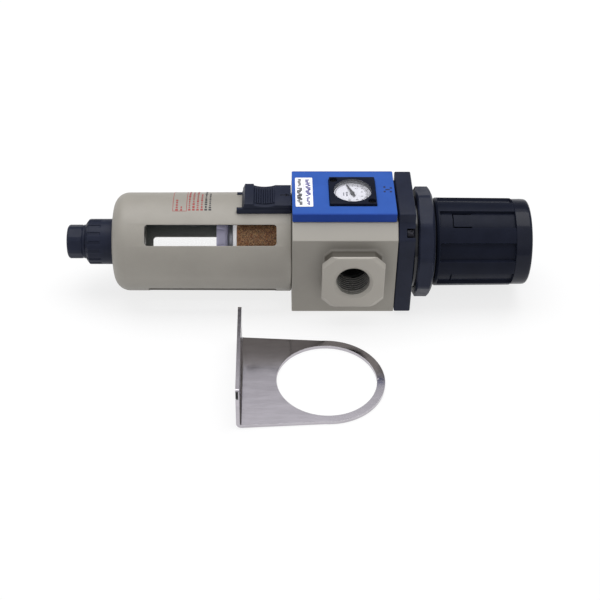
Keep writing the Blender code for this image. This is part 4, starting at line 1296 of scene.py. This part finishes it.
def make_bowl():
    mouth, seal_x0, seal_x1, collar_x0, collar_x1 = -21.0, -25.4, -23.0, -38.6, -36.0
    seal_floor, collar_r = 22.3, 25.4
    dome_x, outlet_x = -112.0, -134.4
    outer = arc((dome_x, 9.6), 14.0, 90, 170, 16)
    inner = arc((dome_x, 9.4), 12.0, 170, 90, 16)
    bowl = turned("clear_bowl", [
        (mouth, BOWL_INNER_R), (mouth, 23.0), (-22.6, BOWL_R), (seal_x1, BOWL_R),
        (seal_x1, seal_floor), (seal_x0, seal_floor), (seal_x0, BOWL_R), (collar_x1, BOWL_R),
        (collar_x1, collar_r), (collar_x0, collar_r), (collar_x0, BOWL_R), *outer,
        (-126.6, 10.8), (outlet_x, 10.8), (outlet_x, 6.6), (-124.4, 6.6), (-124.4, 9.2),
        *inner], 0.2, 128)
    fit(bowl, "clear_plastic", "bowl")
    seal_r = 0.9
    seal = [(x, seal_floor + 1.0 + r) for x, r in circle(seal_r, 16, ((seal_x0 + seal_x1) / 2, 0))]
    ring = turned("bowl_seal", seal, 0, 128)
    fit(ring, "rubber", "bowl_o_ring")


def make_guard():
    shoulder, wall, neck_r = 8.4, 2.4, 11.4
    centre = (GUARD_X0 + shoulder, GUARD_R - 0.2 - shoulder)
    outer = arc(centre, shoulder, 180, 90, 14)
    inner = arc(centre, shoulder - wall, 90, 180, 12)
    guard = turned("bowl_shell", [
        (GUARD_LIP, 24.8), (GUARD_LIP, 26.2), (GUARD_X1, 26.2), (GUARD_X1, GUARD_R - 0.5),
        (GUARD_X1 - 0.6, GUARD_R + 0.1), *reversed(outer), (GUARD_X0, neck_r + 0.8),
        (GUARD_X0 + 0.5, neck_r), (GUARD_X0 + wall, neck_r), *reversed(inner),
        (-35.6, GUARD_R - wall), (-35.6, 24.8)], 0, 160)
    half = (WINDOW_X1 - WINDOW_X0) / 2
    middle = (WINDOW_X0 + WINDOW_X1) / 2
    outline = rounded(rectangle(half, WINDOW_WIDTH / 2, (middle, 0)), 1.9, 8)
    cutters = []
    for i in range(4):
        window = prism("window", [outline], AXIS_Z + 20.0, AXIS_Z + 32.0, "Z")
        cutters.append(turn(window, WINDOW_DEG + 90 * i, "X", (0, 0, AXIS_Z)))
    cut(guard, *cutters)
    bevel(guard, 0.35, 2, 40)
    smooth(guard, 40)
    fit(guard, "guard_paint", "bowl_guard")
    make_guard_print()


def make_guard_print():
    """A block of made-up notice print: an outlined panel, then narrow lines across the guard."""
    source = random.Random(11)
    left, right = -101.0, -80.0
    near, far = 16.0, -35.0
    panel = 8.0

    def on_guard(angle, along, height):
        share = (along - GUARD_X0) / (GUARD_X1 - GUARD_X0)
        radius = GUARD_R - 0.2 + 0.3 * share
        return polar("X", (0, AXIS_Z), along, radius + 0.01 + height, -angle)

    low, high = -near, -far
    thin = 0.28
    degree = math.degrees(thin / GUARD_R)
    red = [
        (low, high, left, left + thin), (low, high, left + panel - thin, left + panel),
        (low, low + degree, left, left + panel), (high - degree, high, left, left + panel)]

    def line(x, end, tall):
        """One line of strokes from the near side, each with its own height."""
        marks = [(low + 1.0, low + 3.4, x - tall * 0.7, x + tall * 0.7)]
        for u0, u1 in dashes(source, low + 4.6, end, 1.3, 3.4, 1.5):
            reach = tall * source.uniform(0.7, 1.25)
            marks.append((u0, u1, x - reach / 2, x + reach / 2))
        return marks

    red += line(left + 2.3, low + 22, 1.1)
    red += line(left + 4.9, low + 9, 0.7)
    columns = 6
    black = []
    for i in range(columns):
        x = left + panel + 1.4 + (right - left - panel - 1.4) * i / (columns - 1)
        end = low + (high - low) * (source.uniform(0.55, 0.9) if i % 2 else 1.0)
        if i < columns - 2:
            red += line(x, end, 1.0)
        else:
            black += line(x, end, 1.1)
    node = "bowl_guard"
    dress(printed("guard_notice_red", red, on_guard, 0.04), "ink_red", node)
    dress(printed("guard_notice_black", black, on_guard, 0.04), "ink_black", node)


def make_rail():
    """The guide of the bowl lock, which straddles the guard."""
    floor = LOCK_FLOOR
    rail = bevel(block(
        "guide_rail", (RAIL_X0, -LOCK_HALF, AXIS_Z + 24.0), (RAIL_X1, LOCK_HALF, LOCK_RAIL_TOP),
        0), 0.5)
    clear_x0, clear_x1, clear_top = -70.0, -30.0, LOCK_RAIL_TOP + 2
    feet_x1, inner_half = -60.6, 7.6
    seat = rod("seat", clear_x0, clear_x1, GUARD_R + 0.35, 240)
    channel = block("channel", (clear_x0, -8.2, floor + 0.6), (clear_x1, 8.2, clear_top), 0)
    gap = block(
        "gap", (clear_x0, -inner_half, AXIS_Z + 20.0), (feet_x1, inner_half, clear_top), 0)
    far_foot = block(
        "far_foot", (clear_x0, 7.0, AXIS_Z + 27.9), (feet_x1, 12.0, clear_top), 0)
    cut(rail, seat, channel, gap, far_foot)
    join(rail, block(
        "post", (-59.5, -1.5, floor + 0.2), (-58.6, 1.5, LOCK_RAIL_TOP + 1.3), 0))
    fit(smooth(rail), "black_plastic", "lock_rail")


def make_button():
    """The sliding button, stepped along its sides to run over the rail."""
    key_bottom = LOCK_FLOOR + 0.9
    scoop = arc((-49.4, LOCK_TOP + 17.4), 18.5, -71.2, -108.8, 18)
    side = [
        (BUTTON_X0, key_bottom), (RAIL_X1, key_bottom), (RAIL_X1, LOCK_TOP),
        (-43.6, LOCK_TOP), *scoop, (-55.5, BUTTON_TOP), (-60.4, BUTTON_TOP)]
    button = prism("slide_button", [side], -LOCK_HALF, LOCK_HALF, "Y")
    bevel(button, 0.45, 3, 40)
    cutters = []
    for edges in ((-12.0, -7.9), (7.9, 12.0)):
        cutters.append(block(
            "step", (-66.0, edges[0], key_bottom - 1), (-30.0, edges[1], LOCK_RAIL_TOP + 0.3), 0))
    cutters.append(block(
        "pocket", (-60.2, -2.0, key_bottom - 1), (-43.0, 2.0, LOCK_RAIL_TOP + 1.6), 0))
    cut(button, *cutters)
    fit(smooth(button, 28), "black_plastic", "lock_button")
    make_lock_grip(scoop)


def make_lock_grip(scoop):
    """Nine ribs in the finger scoop, and a raised arrow beyond it."""
    ribs = []
    count = 9
    for i in range(count):
        x = -54.6 + 10.4 * i / (count - 1)
        z = min(scoop, key=lambda point: abs(point[0] - x))[1]
        ribs.append(rod("rib", -7.4, 7.4, 0.62, 20, "Y", (x, z + 0.05), 0.3))
    node = "lock_button"
    dress(merged("button_ribs", ribs), "black_plastic", node)
    arrow = prism("button_arrow", [[
        (-40.6, -0.35), (-37.6, -0.35), (-37.6, -1.5), (-35.2, 0.0), (-37.6, 1.5),
        (-37.6, 0.35), (-40.6, 0.35)]], LOCK_TOP - 0.2, LOCK_TOP + 0.22, "Z")
    soften(arrow, 0.1, 2)
    dress(arrow, "black_gloss", node)


def make_drain_nut():
    """The ribbed ring that holds the drain."""
    ribs = 16
    x0, x1 = DRAIN_NUT_X0, DRAIN_NUT_X1

    def ribbed(along, radius, angle):
        if radius < DRAIN_NUT_R - 1.3:
            return radius
        phase = (angle * ribs / 360) % 1
        sunk = ease((0.5 - abs(phase - 0.5) - 0.26) * 12)
        return radius - 0.55 * sunk * plateau(along, x0 - 2.0, x0 + 9.2, 0.5)

    barrel = [(x, DRAIN_NUT_R) for x in evenly(x0 + 2.2, x0 + 9.6, 0.55)]
    nut = turned("drain_ring", [
        (x1, 6.6), (x1, 13.3), (x1 - 0.2, 13.5), (x1 - 0.9, 13.5), (x1 - 1.3, DRAIN_NUT_R),
        *reversed(barrel), (x0 + 1.8, 13.0), (x0 + 0.9, 11.9), (x0, 10.6), (x0, 6.6)],
        0, 240, relief=ribbed)
    fit(smooth(nut, 28), "black_plastic", "drain_nut")


def make_drain_cap():
    """The turning cap, with eight flats and a hole in its end."""
    flats = 8
    cap_x1 = DRAIN_NECK_X1 - 1.6

    def faceted(along, radius, angle):
        if radius < DRAIN_CAP_R - 0.8 or along > cap_x1:
            return radius
        off = ((angle * flats / 360) % 1) - 0.5
        flat = (DRAIN_CAP_R - 0.34) / math.cos(math.radians(off * 360 / flats))
        return min(radius, flat)

    cap = turned("drain_knob", [
        (DRAIN_NECK_X1, 6.6), (DRAIN_NECK_X1, 9.6), (DRAIN_NECK_X1 - 0.4, 9.75),
        (DRAIN_NECK_X1 - 1.3, 9.75),
        (cap_x1, 9.1), (cap_x1 - 0.3, 9.4), (cap_x1 - 0.7, DRAIN_CAP_R),
        (DRAIN_END + 1.5, DRAIN_CAP_R), (DRAIN_END + 0.7, 9.3), (DRAIN_END + 0.2, 8.5),
        (DRAIN_END, 7.4), (DRAIN_END, 2.3), (DRAIN_END + 0.4, 2.0), (-158.0, 2.0),
        (-158.0, 3.4), (-152.9, 3.4), (-152.9, 6.6)], 0.12, 192, relief=faceted)
    fit(smooth(cap, 24), "black_plastic", "drain_cap")


def make_drain_inside():
    tube = turned("drain_tube", [
        (-121.9, 3.1), (-121.9, 8.6), (-123.9, 8.6), (-123.9, 6.2), (-152.4, 6.2),
        (-152.4, 3.1)], 0.2, 72)
    fit(tube, "black_plastic", "drain_body")
    stem = turned("drain_spindle", [
        (-157.0, 0.0), (-157.0, 2.4), (-121.6, 2.4), (-121.6, 4.8), (-119.6, 4.8),
        (-118.6, 3.8), (-118.6, 0.0)], 0.2, 60)
    fit(stem, "dull_brass", "drain_stem")


# ---------------------------------------------------------------- bracket

def flange_cutters(cy, half_width):
    """The two slots and the two rounded top corners of the bracket's flange."""
    cutters = []
    top = BRACKET_TOP
    half, slot_r = BRACKET_SLOT_HALF, BRACKET_SLOT_R
    for sign, radius in ((-1, FLANGE_CORNER_NEAR), (1, FLANGE_CORNER_FAR)):
        slot = [
            (cy + sign * BRACKET_SLOT_AT + dy, top - BRACKET_SLOT_DROP + dz)
            for dy, dz in (
                *arc((-half, 0), slot_r, 90, 270, 16), *arc((half, 0), slot_r, -90, 90, 16))]
        cutters.append(prism("slot", [slot], BRACKET_X0 - 3, BRACKET_X0 + 5))
        edge = cy + sign * half_width
        corner = [
            (edge + sign * 0.5, top + 0.5), (edge - sign * (radius + 0.5), top + 0.5),
            *arc((edge - sign * radius, top - radius), radius, 90, 90 - sign * 90, 12),
            (edge + sign * 0.5, top - radius - 0.5)]
        cutters.append(prism("corner", [corner], BRACKET_X0 - 3, BRACKET_X0 + 5))
    return cutters


def make_bracket():
    """One bent sheet: a ring that fits under the panel nut, and a flange with two slots.

    The flange has a small notch at its near top corner, filled with a dark block of painted shade.
    """
    floor = span("bracket", Z)[0]
    top = BRACKET_TOP
    ring_r = BRACKET_HOLE_R + BRACKET_RIM
    cx, cy = BRACKET_X1 - ring_r, (BRACKET_Y0 + BRACKET_Y1) / 2
    half_width = (BRACKET_Y1 - BRACKET_Y0) / 2
    bend = BRACKET_BEND
    lean = math.degrees(math.asin((half_width - ring_r) / (cx - BRACKET_X0)))
    plate_x0 = BRACKET_X0 + bend
    far_x = BRACKET_X1 + 5.0
    side = [
        (far_x, floor), *arc((plate_x0, floor + bend), bend, 270, 180, 10),
        (BRACKET_X0, top), (BRACKET_X0 + BRACKET_SHEET, top),
        *arc((plate_x0, floor + bend), bend - BRACKET_SHEET, 180, 270, 8),
        (far_x, floor + BRACKET_SHEET)]
    plate = prism("neck_bracket", [side], BRACKET_Y0 - 5.0, BRACKET_Y1 + 5.0, "Y")
    outline = [
        (BRACKET_X0 - 5.0, BRACKET_Y0), (plate_x0, BRACKET_Y0),
        *arc((cx, cy), ring_r, -90 - lean, 90 + lean, 90),
        (plate_x0, BRACKET_Y1), (BRACKET_X0 - 5.0, BRACKET_Y1)]
    boolean(plate, "INTERSECT", [prism("plan", [outline], floor - 5.0, top + 5.0, "Z")])
    dimple_x = cx + BRACKET_HOLE_R
    cutters = [
        rod("hole", floor - 5, floor + 5, BRACKET_HOLE_R, 128, "Z", (cx, cy)),
        rod("dimple", floor - 5, floor + 5, 0.75, 24, "Z", (dimple_x + 0.3, cy + 0.6))]
    cutters += flange_cutters(cy, half_width)
    notch_width, notch_depth, notch_z0, notch_z1 = 1.5, 0.6, top - 6.2, top - 0.8
    cutters.append(block(
        "notch", (BRACKET_X0 - 1, BRACKET_Y0 - 1, notch_z0),
        (BRACKET_X0 + notch_width, BRACKET_Y0 + notch_depth, notch_z1), 0))
    cut(plate, *cutters)
    soften(plate, 0.28, 2, 45)
    fit(plate, "nickel_sheet", "bracket")
    # Painted shade: a dark block fills the notch.
    shade = block(
        "flange_notch_shade", (BRACKET_X0 + 0.1, BRACKET_Y0 + 0.05, notch_z0 + 0.2),
        (BRACKET_X0 + notch_width - 0.1, BRACKET_Y0 + notch_depth + 0.3, notch_z1 - 0.2), 0.1)
    dress(shade, "port_shade", "bracket")


# ---------------------------------------------------------------- carried-over CAD nodes

CARRIED = {
    "gauge_socket": "brass", "bourdon_tube": "brass", "movement_plate": "brass",
    "sector_gear": "brass", "adjusting_screw": "steel", "spring_seat": "brass",
    "regulating_spring": "steel", "diaphragm_plate": "zinc", "diaphragm": "rubber",
    "relief_seat": "brass", "poppet_valve": "brass", "valve_seat": "brass",
    "valve_guide": "brass", "valve_spring": "steel", "element_gasket": "rubber",
    "lock_spring": "steel",
}


def paint_carried_nodes():
    for name, look in CARRIED.items():
        node = frame["nodes"][name]
        if not node.material_slots:
            node.data.materials.append(None)
        for slot in node.material_slots:
            slot.material = FINISHES[look]


# ---------------------------------------------------------------- stage

def make_floor():
    """A pale floor whose faint unevenness comes from its material."""
    work = bmesh.new()
    bmesh.ops.create_grid(work, x_segments=8, y_segments=8, size=FLOOR_SIZE)
    mesh = bpy.data.meshes.new("floor")
    work.to_mesh(mesh)
    work.free()
    floor = place("floor", mesh)
    floor.location.z = FLOOR_Z * MM
    surface = Surface("floor")
    tone = surface.mixed(surface.noise(3.0), *FLOOR_TONES)
    surface.link(tone, surface.shader.inputs["Base Color"])
    surface.set(Roughness=0.9, Specular_IOR_Level=0.0, Emission_Color=(1, 1, 1, 1),
                Emission_Strength=FLOOR_GLOW)
    mesh.materials.append(surface.material)


def area_light(name, place_at, target, width, height, radiance):
    """A soft box that shows this radiance."""
    light = bpy.data.lights.new(name, "AREA")
    light.shape = "RECTANGLE"
    light.size, light.size_y = width, height
    light.energy = radiance * math.pi * width * height
    obj = place(name, light)
    obj.location = place_at
    obj.rotation_euler = (Vector(target) - Vector(place_at)).to_track_quat("-Z", "Y").to_euler()
    return obj


def make_lights():
    """A studio that is evenly pale in front, and dark behind up to the edge of a bright ceiling."""
    world = bpy.data.worlds.new("studio")
    bpy.context.scene.world = world
    world.use_nodes = True
    nodes = Nodes(world.node_tree)
    split = nodes.node("ShaderNodeSeparateXYZ")
    nodes.link(nodes.node("ShaderNodeTexCoord").outputs["Generated"], split.inputs[0])
    height = split.outputs["Z"]
    towards_back = nodes.ranged(split.outputs["Y"], *FRONT_TO_BACK, 0.0, 1.0)
    colour = nodes.mixed(
        towards_back, nodes.sky(height, FRONT_SKY), nodes.sky(height, BACK_SKY))
    nodes.link(colour, nodes.tree.nodes["Background"].inputs["Color"])
    area_light("softbox_above", SOFTBOX_AT, SOFTBOX_TARGET, *SOFTBOX_SIZE, SOFTBOX_RADIANCE)


def make_camera():
    """The viewpoint in front of the inlet side, looking down on the unit."""
    camera = bpy.data.cameras.new("camera")
    camera.sensor_width = 36.0
    camera.lens = CAMERA_LENS
    camera.shift_x = CAMERA_SHIFT_X
    camera.clip_start = 0.05
    camera.clip_end = 10.0
    obj = place("camera", camera)
    obj.location = Vector(CAMERA_AT) * MM
    obj.rotation_euler = (math.radians(90 - CAMERA_DOWN_DEG), 0, 0)
    bpy.context.scene.camera = obj


def main():
    for make in (
            make_camera, make_lights, make_floor, make_body, make_cover, make_gauge, make_bonnet,
            make_ring_nut, make_knob, make_filter, make_bowl, make_guard, make_rail, make_button,
            make_drain_nut, make_drain_cap, make_drain_inside, make_bracket, paint_carried_nodes):
        make()
    bpy.context.scene.view_settings.view_transform = "Standard"


main()
